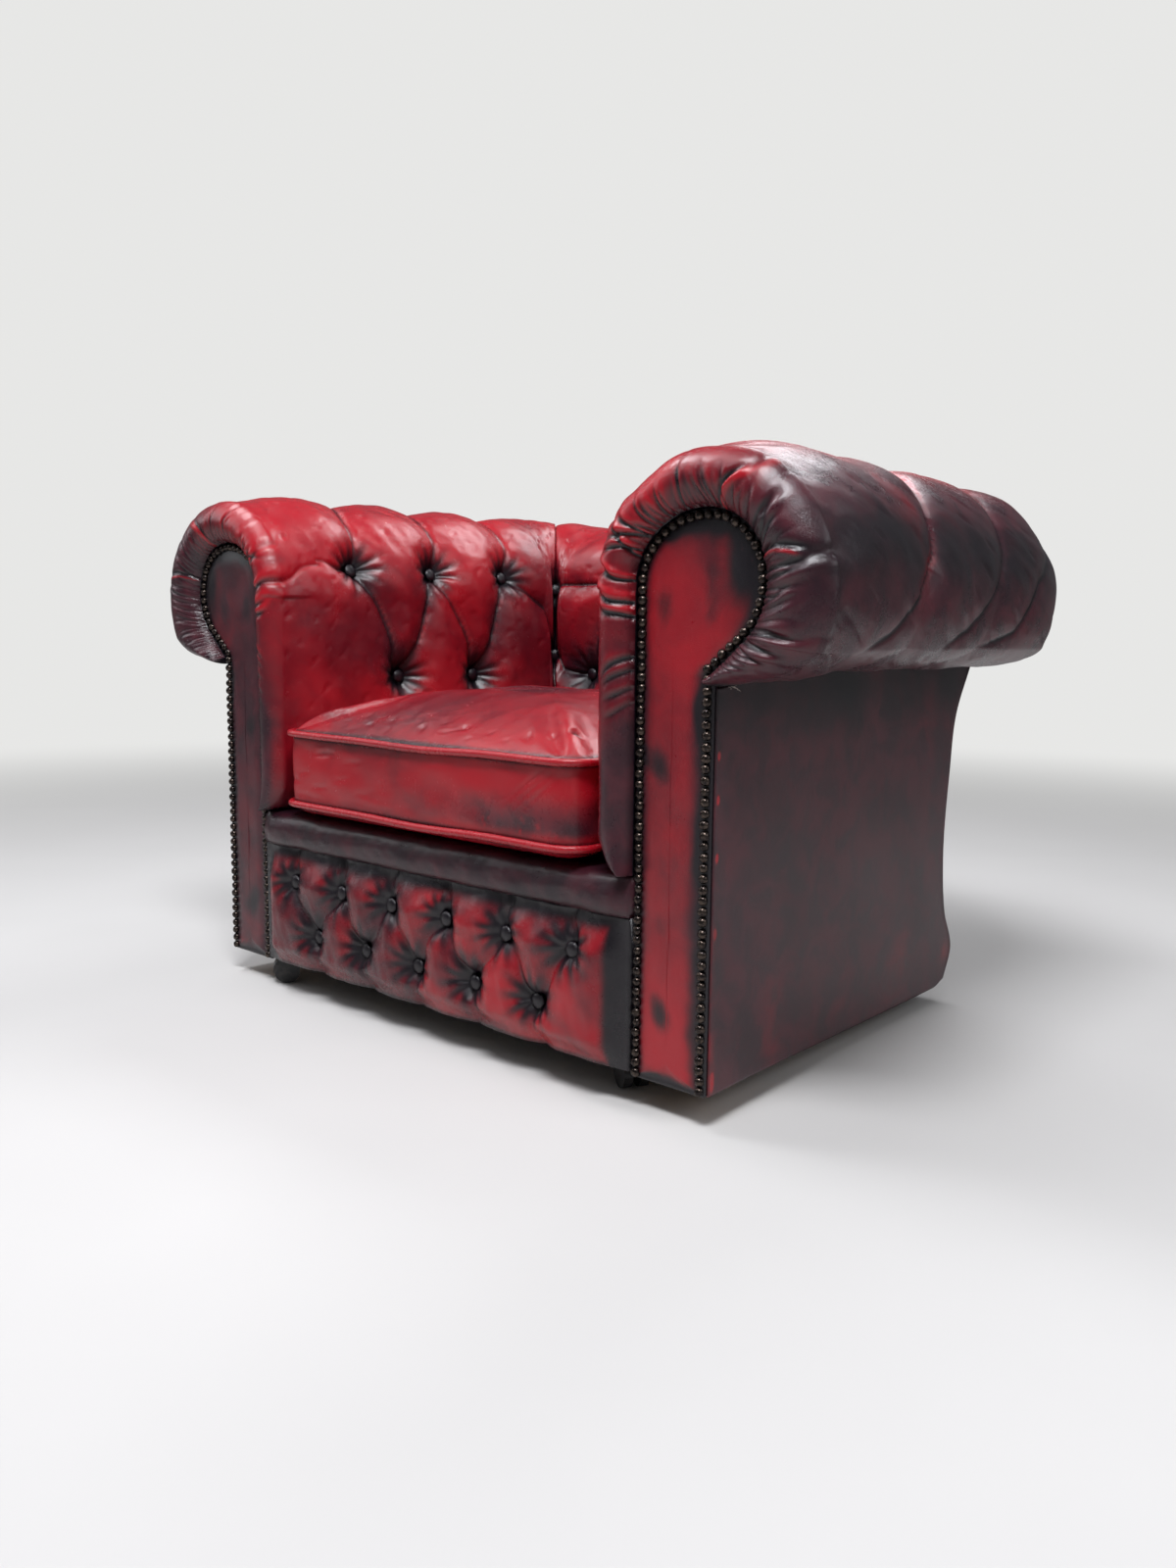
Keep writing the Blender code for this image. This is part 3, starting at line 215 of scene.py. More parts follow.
def antique_leather(name, polish=0.0, creased=1.0):
    """Oxblood leather, rubbed bright on what stands proud, with painted shade that goes nearly black in the
    creases.
    The mesh says at each point how much painted shade and dark tone it has in 'hollow', how worn it is in
    'rubbed' and how much of the dark finish it has kept, with painted shade round creases and buttons, in
    'aged'."""
    skin = Recipe(name, rough=0.26, specular=0.5)
    hollow = skin.mark("hollow")
    rubbed = skin.mark("rubbed")
    aged = skin.mark("aged")
    cloud = skin.noise(6.0, 3.0, 0.50, 0.5)
    mottle = skin.noise(28.0, 3.0, 0.55, 0.6)
    speck = skin.noise(210.0, 3.0, 0.6)
    rub = (rubbed * 1.30 + (cloud - 0.5) * 1.4 + (mottle - 0.5) * 0.4).clamp()
    base = skin.blend(rub.step(0.02, 0.85), OXBLOOD, WORN_RED)
    plum = skin.blend(mottle.step(0.30, 0.70), (0.030, 0.007, 0.013), (0.072, 0.012, 0.020))
    # Plum blend: the kept dark finish, plus painted shade round creases and buttons
    plum_finish_and_shade = (aged * 1.20 + (0.5 - cloud) * 1.1 + (0.5 - mottle) * 0.45 - rubbed * 0.45).clamp()
    base = skin.blend(plum_finish_and_shade.step(0.05, 0.95), base, plum)
    # Painted shade: near-black where the shade mark is high, in creases, dimples and under the roll
    deep = (hollow * 1.22 + (0.5 - cloud) * 0.30 + (0.5 - mottle) * 0.20 - 0.03).clamp()
    base = skin.blend(deep.step(0.06, 0.88), base, (0.005, 0.003, 0.006))
    base = skin.blend(speck.step(0.62, 0.78) * 0.10, base, (0.180, 0.050, 0.075))
    skin.feed("Base Color", base)
    gloss = 0.175 + polish + mottle * 0.09 + speck * 0.05 + aged * 0.04 + hollow * 0.04
    skin.feed("Roughness", gloss.clamp(0.12, 0.8))
    grain = skin.cells(620.0, "DISTANCE_TO_EDGE").step(0.0, 0.14)
    pores = skin.noise(1100.0, 2.0, 0.5)
    crinkle = skin.noise(85.0, 4.0, 0.62, 1.2)
    wrinkles = (crinkle * 0.9 + mottle * 0.5) * creased
    skin.relief(grain * 0.20 + pores * 0.10 + wrinkles, 0.0008, 0.42)
    return skin.material


def old_brass(name):
    metal = Recipe(name, rough=0.38, metal=0.9)
    patch = metal.noise(240.0, 3.0, 0.6)
    fine = metal.noise(1400.0, 2.0, 0.5)
    tone = metal.blend(patch.step(0.35, 0.68), (0.022, 0.018, 0.018), (0.085, 0.064, 0.052))
    metal.feed("Base Color", metal.blend(fine.step(0.55, 0.75) * 0.4, tone, (0.008, 0.006, 0.006)))
    metal.feed("Roughness", (0.16 + patch * 0.22).clamp())
    metal.relief(patch + fine * 0.4, 0.0003, 0.5)
    return metal.material


def moulded_plastic(name):
    shell = Recipe(name, rough=0.42)
    grime = shell.noise(90.0, 4.0, 0.6)
    tone = shell.blend(grime.step(0.45, 0.75), (0.012, 0.012, 0.013), (0.055, 0.050, 0.047))
    shell.feed("Base Color", tone)
    shell.feed("Roughness", (0.30 + grime * 0.35).clamp())
    shell.relief(shell.noise(800.0, 2.0, 0.5), 0.0002, 0.4)
    return shell.material


def plain_steel(name):
    steel = Recipe(name, rough=0.4, metal=1.0)
    brushed = steel.noise(60.0, 3.0, 0.6, place=steel.stretch((1.0, 1.0, 14.0)))
    steel.feed("Base Color", steel.blend(brushed, (0.30, 0.30, 0.31), (0.52, 0.52, 0.53)))
    steel.feed("Roughness", (0.30 + brushed * 0.25).clamp())
    return steel.material


def plain_thread(name):
    thread = Recipe(name, rough=0.9, specular=0.2)
    fibre = thread.noise(900.0, 2.0, 0.5)
    thread.feed("Base Color", thread.blend(fibre, (0.42, 0.34, 0.30), (0.68, 0.60, 0.54)))
    return thread.material


def beech(name):
    wood = Recipe(name, rough=0.62)
    along = wood.stretch((2.0, 2.0, 26.0), (0.0, 0.2, 0.0))
    rings = wood.noise(9.0, 5.0, 0.6, 0.8, along)
    fleck = wood.noise(160.0, 2.0, 0.5)
    tone = wood.blend(rings.step(0.3, 0.7), (0.300, 0.170, 0.085), (0.520, 0.340, 0.180))
    wood.feed("Base Color", wood.blend(fleck.step(0.6, 0.7) * 0.4, tone, (0.200, 0.110, 0.060)))
    wood.relief(rings + fleck * 0.4, 0.0004, 0.4)
    return wood.material


def woven(name, dark, light, pitch):
    cloth = Recipe(name, rough=0.92, specular=0.2)
    across, along = (
        cloth.node("ShaderNodeTexWave", {"bands_direction": way}, {"Vector": cloth.place, "Scale": pitch})[1]
        for way in "XY"
    )
    weave = across * along
    dust = cloth.noise(30.0, 4.0, 0.6)
    cloth.feed("Base Color", cloth.blend((weave * 0.7 + dust * 0.4).clamp(), dark, light))
    cloth.relief(weave, 0.0005, 0.6)
    return cloth.material


def mix(start, end, share):
    return start + (end - start) * share


def ease(share):
    share = np.clip(share, 0.0, 1.0)
    return share * share * (3.0 - 2.0 * share)


def wobble(a, b, scale, seed):
    """Smooth uneven values, from -1 to 1, over two coordinates."""
    rng = np.random.default_rng(seed)
    total = np.zeros(np.broadcast(a, b).shape)
    for _ in range(7):
        angle = rng.uniform(0.0, 2.0 * math.pi)
        reach = scale * rng.uniform(0.6, 1.7)
        phase = rng.uniform(0.0, 2.0 * math.pi)
        total = total + np.sin((a * math.cos(angle) + b * math.sin(angle)) * 2 * math.pi * reach + phase)
    return total / 4.2


def outer_profile(place):
    """Offset and height on the covering for an array of places, as in the solids."""
    place = np.asarray(place, float)
    rise = SCROLL_HEIGHT - ROLL_SHIFT_DOWN - PAD_BOTTOM
    turn = np.clip(place / 0.22, 0.0, 1.0) * math.pi / 2
    up = (place - 0.22) / 0.78
    low_x = np.where(place < 0.22, -PAD_REACH + PAD_CORNER * (1 - np.sin(turn)), -PAD_REACH)
    low_z = np.where(
        place < 0.22, PAD_BOTTOM + PAD_CORNER * (1 - np.cos(turn)),
        PAD_BOTTOM + PAD_CORNER + (rise - PAD_CORNER) * up,
    )
    angle = np.radians(180.0 + (ROLL_END_ANGLE - 180.0) * np.clip(place - 1.0, 0.0, 1.0))
    roll_x = ROLL_SHIFT_OUT + ROLL_RADIUS * np.cos(angle)
    roll_z = SCROLL_HEIGHT - ROLL_SHIFT_DOWN + ROLL_RADIUS * np.sin(angle)
    end = math.radians(ROLL_END_ANGLE)
    start = (
        ROLL_SHIFT_OUT + ROLL_RADIUS * math.cos(end),
        SCROLL_HEIGHT - ROLL_SHIFT_DOWN + ROLL_RADIUS * math.sin(end),
    )
    share = np.clip(place - 2.0, 0.0, 1.0)
    keep = 1.0 - share
    under_x = keep**2 * start[0] + 2 * keep * share * UNDERSIDE_BELLY[0] + share**2 * CREASE_OFFSET
    under_z = keep**2 * start[1] + 2 * keep * share * UNDERSIDE_BELLY[1] + share**2 * CREASE_HEIGHT
    x = np.where(place <= 1.0, low_x, np.where(place <= 2.0, roll_x, under_x))
    z = np.where(place <= 1.0, low_z, np.where(place <= 2.0, roll_z, under_z))
    return x, z


FINE_PLACES = np.linspace(0.0, 3.0, 1501)
FINE_X, FINE_Z = outer_profile(FINE_PLACES)
FINE_LENGTH = np.concatenate(
    [[0.0], np.cumsum(np.hypot(np.diff(FINE_X), np.diff(FINE_Z)))]
)


def profile_length(place):
    return np.interp(place, FINE_PLACES, FINE_LENGTH)


def place_of_height(height):
    seat_side = FINE_PLACES <= 1.5
    return float(np.interp(height, FINE_Z[seat_side], FINE_PLACES[seat_side]))


def keyhole(place, grow=0.0):
    """Offset and height on the keyhole outline, with the same places as the covering."""
    place = np.asarray(place, float)
    neck_x = np.full(place.shape, -NECK_INNER - grow)
    neck_z = mix(PAD_BOTTOM, SCROLL_HEIGHT, np.clip(place, 0.0, 1.0))
    angle = np.radians(180.0 - 225.0 * np.clip(place - 1.0, 0.0, 1.0))
    early = angle > math.pi / 2
    across = np.where(early, NECK_INNER, SCROLL_RADIUS)
    tall = np.where(early, SCROLL_TOP, mix(SCROLL_RADIUS, SCROLL_TOP, ease(angle / (math.pi / 2))))
    scroll_x = (across + grow) * np.cos(angle)
    scroll_z = SCROLL_HEIGHT + (tall + grow) * np.sin(angle)
    last = np.clip(place - 2.0, 0.0, 1.0)
    end = math.radians(-45.0)
    start_x = (SCROLL_RADIUS + grow) * math.cos(end)
    start_z = SCROLL_HEIGHT + (SCROLL_RADIUS + grow) * math.sin(end)
    foot_x = mix(start_x, NECK_OUTER + grow, last)
    foot_z = mix(start_z, NECK_MEETS - grow, last)
    x = np.where(place <= 1.0, neck_x, np.where(place <= 2.0, scroll_x, foot_x))
    z = np.where(place <= 1.0, neck_z, np.where(place <= 2.0, scroll_z, foot_z))
    return x, z


def crease_rise(distance):
    return CREASE_RISE * ease(np.asarray(distance) / CREASE_RISE_RUN)


def path_point(distance, offset, side):
    """Plan point at a distance along the bent centre line and an offset outwards from it."""
    share = distance / STRAIGHT_LENGTH
    cos_taper, sin_taper = math.cos(STRAIGHT_ANGLE), math.sin(STRAIGHT_ANGLE)
    line_x = mix(ARM_CENTRE_FRONT + offset / cos_taper, STRAIGHT_END_X + offset * cos_taper, share)
    line_y = mix(FACING_Y + 0.0 * offset, STRAIGHT_END_Y + offset * sin_taper, share)
    angle = STRAIGHT_ANGLE + (distance - STRAIGHT_LENGTH) / CORNER_BEND
    bend_x = BEND_X + (CORNER_BEND + offset) * np.cos(angle)
    bend_y = BEND_Y + (CORNER_BEND + offset) * np.sin(angle)
    back_x = BEND_X - (distance - STRAIGHT_LENGTH - BEND_LENGTH) + 0.0 * offset
    back_y = BEND_Y + CORNER_BEND + offset
    on_line = distance <= STRAIGHT_LENGTH
    on_bend = distance <= STRAIGHT_LENGTH + BEND_LENGTH
    x = np.where(on_line, line_x, np.where(on_bend, bend_x, back_x))
    y = np.where(on_line, line_y, np.where(on_bend, bend_y, back_y))
    return side * x, y


def roll_point(distance, offset, height, side):
    x, y = path_point(distance, offset, side)
    room = (y - BEND_Y) - (np.abs(x) - BEND_X) * math.tan(MITRE_ANGLE) - GAP
    lean = np.minimum(BACK_LEAN * np.maximum(LEAN_START - height, 0.0), 0.7 * np.maximum(room, 0.0))
    y = y - np.where(distance > MITRE_AT, lean, 0.0)
    return x, y, height


BUTTON_SINK = 0.032
ROLL_SINK = 0.0095


def fold(start, end, sink_start, sink_end, sink_middle, width=0.056, crisp=1.0):
    return (start, end, sink_start, sink_end, sink_middle, width, crisp)


def chart(button):
    return button[0], float(profile_length(place_of_height(button[1])))


def over_the_roll(button, top_at=None, foot_at=None, foot_sink=ROLL_SINK, crisp=1.0):
    """Fold from a button over the top of the roll to the crease under it."""
    start = chart(button)
    if top_at is None:
        top_at = foot_at = start[0] + 0.033
    top = (top_at, float(profile_length(1.45)))
    foot = (foot_at, float(profile_length(3.0)))
    return [
        fold(start, top, BUTTON_SINK, ROLL_SINK, ROLL_SINK),
        fold(top, foot, ROLL_SINK, foot_sink, foot_sink, crisp=crisp),
    ]


def drop_to_seat(button, drift=0.0):
    start = chart(button)
    return fold(start, (start[0] + drift, 0.0), BUTTON_SINK, 0.0, 0.007)


def arm_buttons():
    upper = [(BUTTON_FIRST + BUTTON_PITCH * step, BUTTON_UPPER) for step in range(3)]
    lower = [(BUTTON_FIRST + BUTTON_STAGGER + BUTTON_PITCH * step, BUTTON_LOWER) for step in range(2)]
    return upper, lower


def back_buttons():
    upper = [(BACK_PITCH * step, BUTTON_UPPER) for step in (-1, 0, 1)]
    lower = [(BACK_PITCH * (step + 0.5), BUTTON_LOWER) for step in (-2, -1, 0, 1)]
    return upper, lower


def diamonds(upper, lower):
    return [
        fold(chart(high), chart(low), BUTTON_SINK, BUTTON_SINK, 0.014)
        for high in upper for low in lower if abs(high[0] - low[0]) < BUTTON_PITCH * 0.75
    ]


# For each upper button of the near arm: sink at the crease, and where the fold tops and ends
RIGHT_FOLDS = ((0.0, 0.150, 0.060), (0.0045, 0.290, 0.115), (0.0045, 0.500, 0.280))
# Pleats down the outside of the near roll: how red each one is, and its line as distance and place
OUTSIDE_PLEATS = (
    (0.65, (
        (0.298, 1.46), (0.273, 1.59), (0.232, 1.71), (0.208, 1.81),
        (0.172, 1.90), (0.118, 1.97), (0.050, 2.08),
    )),
    (0.35, ((0.452, 1.50), (0.438, 1.64), (0.414, 1.77), (0.365, 1.88), (0.304, 1.96), (0.235, 2.03))),
    (0.0, ((0.560, 1.60), (0.545, 1.75), (0.490, 1.86), (0.440, 1.96), (0.330, 2.04))),
)


def roll_settle(distance, places):
    """How much lower the roll lies at its front end and along the back."""
    top = ease((places - 0.9) / 0.4) * ease((2.2 - places) / 0.4)
    shoulder = 0.008 * (1.0 - ease(distance / 0.090))
    return top[None, :] * (shoulder + 0.014 * ease((distance - MITRE_AT) / 0.120))[:, None]


def arm_folds(side):
    upper, lower = arm_buttons()
    folds = diamonds(upper, lower)
    for button, (foot_sink, top_at, foot_at) in zip(upper, RIGHT_FOLDS):
        if side > 0:
            folds += over_the_roll(button, top_at, foot_at, foot_sink, 0.0)
        else:
            folds += over_the_roll(button)
    for button in lower:
        folds.append(drop_to_seat(button))
    bend = (0.062, chart(upper[0])[1] + 0.002)
    front = (0.0, chart(upper[0])[1] - 0.025)
    folds.append(fold(chart(upper[0]), bend, BUTTON_SINK, 0.007, 0.007))
    folds.append(fold(bend, front, 0.007, 0.0, 0.005, 0.035))
    high, low = (MITRE_AT, CORNER_UPPER), (MITRE_AT, CORNER_LOWER)
    folds.append(fold(chart(upper[-1]), chart(low), BUTTON_SINK, BUTTON_SINK, 0.014))
    folds += over_the_roll(high)
    folds.append(fold(chart(high), chart(low), BUTTON_SINK, BUTTON_SINK, 0.026))
    folds.append(drop_to_seat(low))
    return folds


def back_folds():
    upper, lower = back_buttons()
    folds = diamonds(upper, lower)
    for button in upper:
        folds += over_the_roll(button, button[0], button[0])
    for button in lower:
        folds.append(drop_to_seat(button))
    for end in (-1.0, 1.0):
        mitre = end * (BACK_MIDDLE_AT - MITRE_AT)
        high, low = chart((mitre, CORNER_UPPER)), chart((mitre, CORNER_LOWER))
        near_high = chart((end * BACK_PITCH, BUTTON_UPPER))
        near_low = chart((end * BACK_PITCH * 1.5, BUTTON_LOWER))
        folds.append(fold(high, near_high, BUTTON_SINK, BUTTON_SINK, 0.013))
        folds.append(fold(low, near_low, BUTTON_SINK, BUTTON_SINK, 0.013))
        folds.append(fold(high, (mitre, 0.0), BUTTON_SINK, 0.0, 0.026))
        folds.append(fold(high, (mitre, float(profile_length(3.0))), BUTTON_SINK, ROLL_SINK, ROLL_SINK))
    return folds


def sink_at(a, b, folds):
    """Broad sink and narrow crease depth at chart points, from all folds near them."""
    broad = np.zeros(np.broadcast(a, b).shape)
    narrow = np.zeros_like(broad)
    for start, end, sink_start, sink_end, sink_middle, width, crisp in folds:
        run = (end[0] - start[0], end[1] - start[1])
        length = max(math.hypot(*run), 1e-6)
        share = np.clip(((a - start[0]) * run[0] + (b - start[1]) * run[1]) / length**2, 0.0, 1.0)
        bow = 0.004 * np.sin(share * math.pi * 2.0 + start[0] * 37.0)
        away = np.hypot(
            a - start[0] - run[0] * share + bow * run[1] / length,
            b - start[1] - run[1] * share - bow * run[0] / length,
        )
        near_start = np.maximum(0.0, 1.0 - share * length / width)
        near_end = np.maximum(0.0, 1.0 - (1.0 - share) * length / width)
        depth = sink_middle + max(sink_start - sink_middle, 0.0) * near_start**1.5
        depth = depth + max(sink_end - sink_middle, 0.0) * near_end**1.5
        fall = np.maximum(0.0, 1.0 - away / width)
        broad += (depth * fall**1.7) ** 4
        line = np.exp(-((away / 0.0042) ** 2)) * np.clip(depth / 0.010, 0.2, 1.0)
        narrow = np.maximum(narrow, crisp * line)
    return broad**0.25, narrow


def along_line(a, b, line):
    """Distance of chart points from a line of points, and how far along it each one lies."""
    away = np.full(np.broadcast(a, b).shape, 1.0)
    share = np.zeros_like(away)
    for index, (start, end) in enumerate(zip(line, line[1:])):
        run = (end[0] - start[0], end[1] - start[1])
        part = ((a - start[0]) * run[0] + (b - start[1]) * run[1]) / (run[0] ** 2 + run[1] ** 2)
        part = np.clip(part, 0.0, 1.0)
        off = np.hypot(a - start[0] - run[0] * part, b - start[1] - run[1] * part)
        nearer = off < away
        away = np.where(nearer, off, away)
        share = np.where(nearer, (index + part) / (len(line) - 1), share)
    return away, share


def outside_pleats(a, b, pleated):
    """Sink, painted shade in the grooves and red wear of the pleats down the outside of the near roll."""
    sink = np.zeros(np.broadcast(a, b).shape)
    dark = np.zeros_like(sink)
    red = np.zeros_like(sink)
    if not pleated:
        return sink, dark, red
    for redness, line in OUTSIDE_PLEATS:
        line = [(distance, float(profile_length(place))) for distance, place in line]
        away, share = along_line(a, b, line)
        ends = np.clip(share / 0.12, 0.0, 1.0) * np.clip((1.0 - share) / 0.15, 0.0, 1.0)
        groove = np.exp(-((away / 0.0034) ** 2))
        sink += (0.0026 * groove + 0.0030 * np.exp(-((away / 0.016) ** 2))) * ends
        dark = np.maximum(dark, groove * ends * 0.9)
        upper = 1.0 - ease((share - 0.50) / 0.20)
        red = np.maximum(red, redness * np.exp(-(((away - 0.0040) / 0.0062) ** 2)) * ends * upper)
    return sink, dark, red


def gathers(a, b, spots, count, reach, depth, seed):
    """Small folds that run out of each button like a star."""
    rng = np.random.default_rng(seed)
    total = np.zeros(np.broadcast(a, b).shape)
    for spot in spots:
        away = np.hypot(a - spot[0], b - spot[1])
        angle = np.arctan2(b - spot[1], a - spot[0])
        turn = rng.uniform(0.0, 6.28)
        uneven = 0.65 + 0.35 * np.sin(angle * 3.0 + turn)
        wave = np.cos(angle * count + turn + 0.7 * np.sin(angle * 2.0 + turn))
        strength = np.exp(-((away - 0.018) / reach) ** 2) * np.clip((away - 0.006) / 0.008, 0.0, 1.0)
        total += depth * wave * uneven * strength
    return total


def surface(name, points, faces, material, marks=None):
    """A finished piece in place, from arrays of points and faces, riding on the chair."""
    mesh = bpy.data.meshes.new(name)
    mesh.from_pydata(np.asarray(points).tolist(), [], faces)
    for key, values in (marks or {}).items():
        mark = mesh.attributes.new(key, "FLOAT", "POINT")
        mark.data.foreach_set("value", np.asarray(values, np.float32).ravel())
    shape = bmesh.new()
    shape.from_mesh(mesh)
    bmesh.ops.recalc_face_normals(shape, faces=shape.faces)
    shape.to_mesh(mesh)
    shape.free()
    mesh.shade_smooth()
    piece = bpy.data.objects.new(name, mesh)
    bpy.context.scene.collection.objects.link(piece)
    mesh.materials.append(material)
    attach(piece, "root")
    return piece


def ring_faces(rows, count, caps=True):
    faces = []
    for row in range(rows - 1):
        low = row * count
        for step in range(count):
            after = (step + 1) % count
            faces.append((low + step, low + after, low + count + after, low + count + step))
    if caps:
        faces.append(tuple(reversed(range(count))))
        faces.append(tuple(range((rows - 1) * count, rows * count)))
    return faces


def cover_normals(place):
    before = outer_profile(np.maximum(place - 0.01, 0.0))
    after = outer_profile(np.minimum(place + 0.01, 3.0))
    run_x, run_z = after[0] - before[0], after[1] - before[1]
    length = np.hypot(run_x, run_z)
    return -run_z / length, run_x / length


COVER_STEPS = 440
EVEN_LENGTHS = np.linspace(0.0, FINE_LENGTH[-1], COVER_STEPS)
COVER_PLACES = np.interp(EVEN_LENGTHS, FINE_LENGTH, FINE_PLACES)
RIM_PLACES = np.array([3.0] + [2.0 - step / 18 for step in range(19)] + [0.0])
FRONT_FACE = 0.058
END_STOPS = 42
END_BULGE = 0.0235
EDGE_CLEAR = 0.0006
EDGE_PROUD = 0.002


def end_gathers(seed, side):
    """Folds that run from the nailed edge outwards, as place along the edge and how they lie."""
    rng = np.random.default_rng(seed)
    calm = 1.0 if side > 0 else 0.55
    found = []
    at = float(profile_length(1.12))
    last = float(profile_length(2.93))
    while at < last:
        depth = rng.uniform(0.0008, 0.0026) * calm
        reach = rng.uniform(0.022, 0.064)
        if rng.uniform() < 0.22:
            depth, reach = depth * 1.8, reach * 1.35
        found.append((at, rng.uniform(-0.45, 0.40), depth, rng.uniform(0.0018, 0.0034), reach, 0.12))
        at += rng.uniform(0.004, 0.013)
    for place, slant, depth, reach in (
        (0.88, 0.46, 0.0046, 0.075), (0.93, 0.40, 0.0042, 0.070), (1.10, 0.62, 0.0040, 0.085),
        (1.17, -0.50, 0.0040, 0.075), (1.48, 0.75, 0.0042, 0.080), (1.72, 0.70, 0.0044, 0.085),
        (0.76, -0.5, 0.0028, 0.050), (0.72, -0.5, 0.0024, 0.045), (0.66, -0.4, 0.0022, 0.040),
        (0.60, -0.3, 0.0018, 0.040),
    ):
        red = 0.70 if place > 0.8 else 0.1
        found.append((float(profile_length(place)), slant, depth * calm, 0.0032, reach, red))
    button = chart(arm_buttons()[0][0])
    found.append((button[1] - 0.0405, 0.25, 0.0046 * calm, 0.0034, 0.100, 0.5))
    return found


def gathered(t, b, found):
    """Depth, painted shade in the grooves and rubbed ridges of the end gathers. t runs from the nails
    outwards.
    """
    depth_sum = np.zeros(np.broadcast(t, b).shape)
    dark = np.zeros_like(depth_sum)
    ridge_mark = np.zeros_like(depth_sum)
    for at, slant, depth, width, reach, red in found:
        middle = at + slant * t + 0.003 * np.sin(t * 90.0 + at * 50.0)
        off = b - middle
        wide = width * (1.0 + t / 0.06)
        strength = np.clip((t + 0.006) / 0.007, 0.0, 1.0) * (1.0 - ease((t - 0.35 * reach) / (0.65 * reach)))
        groove = np.exp(-((off / wide) ** 2))
        ridge = np.exp(-(((off - 2.0 * wide) / (1.3 * wide)) ** 2))
        depth_sum += depth * strength * (groove - 0.5 * ridge)
        dark = np.maximum(dark, strength * groove * np.clip(depth / 0.003, 0.4, 1.0))
        ridge_mark = np.maximum(ridge_mark, strength * ridge * red)
    return depth_sum, dark, ridge_mark


def button_shade(a, b, spots, reach=0.040, seed=1):
    """Painted shade in and round each button's dimple, streaked like its gathers."""
    rng = np.random.default_rng(seed)
    total = np.zeros(np.broadcast(a, b).shape)
    for spot in spots:
        away = np.hypot(a - spot[0], b - spot[1])
        angle = np.arctan2(b - spot[1], a - spot[0])
        turn = rng.uniform(0.0, 6.28)
        streak = 0.5 + 0.5 * np.cos(angle * 11 + turn + 0.7 * np.sin(angle * 2.0 + turn))
        near = np.exp(-((away / (reach * 0.50)) ** 2))
        rays = np.exp(-((away / reach) ** 2)) * (0.45 + 0.55 * streak) * 0.85
        total = np.maximum(total, np.maximum(near, rays))
    return total


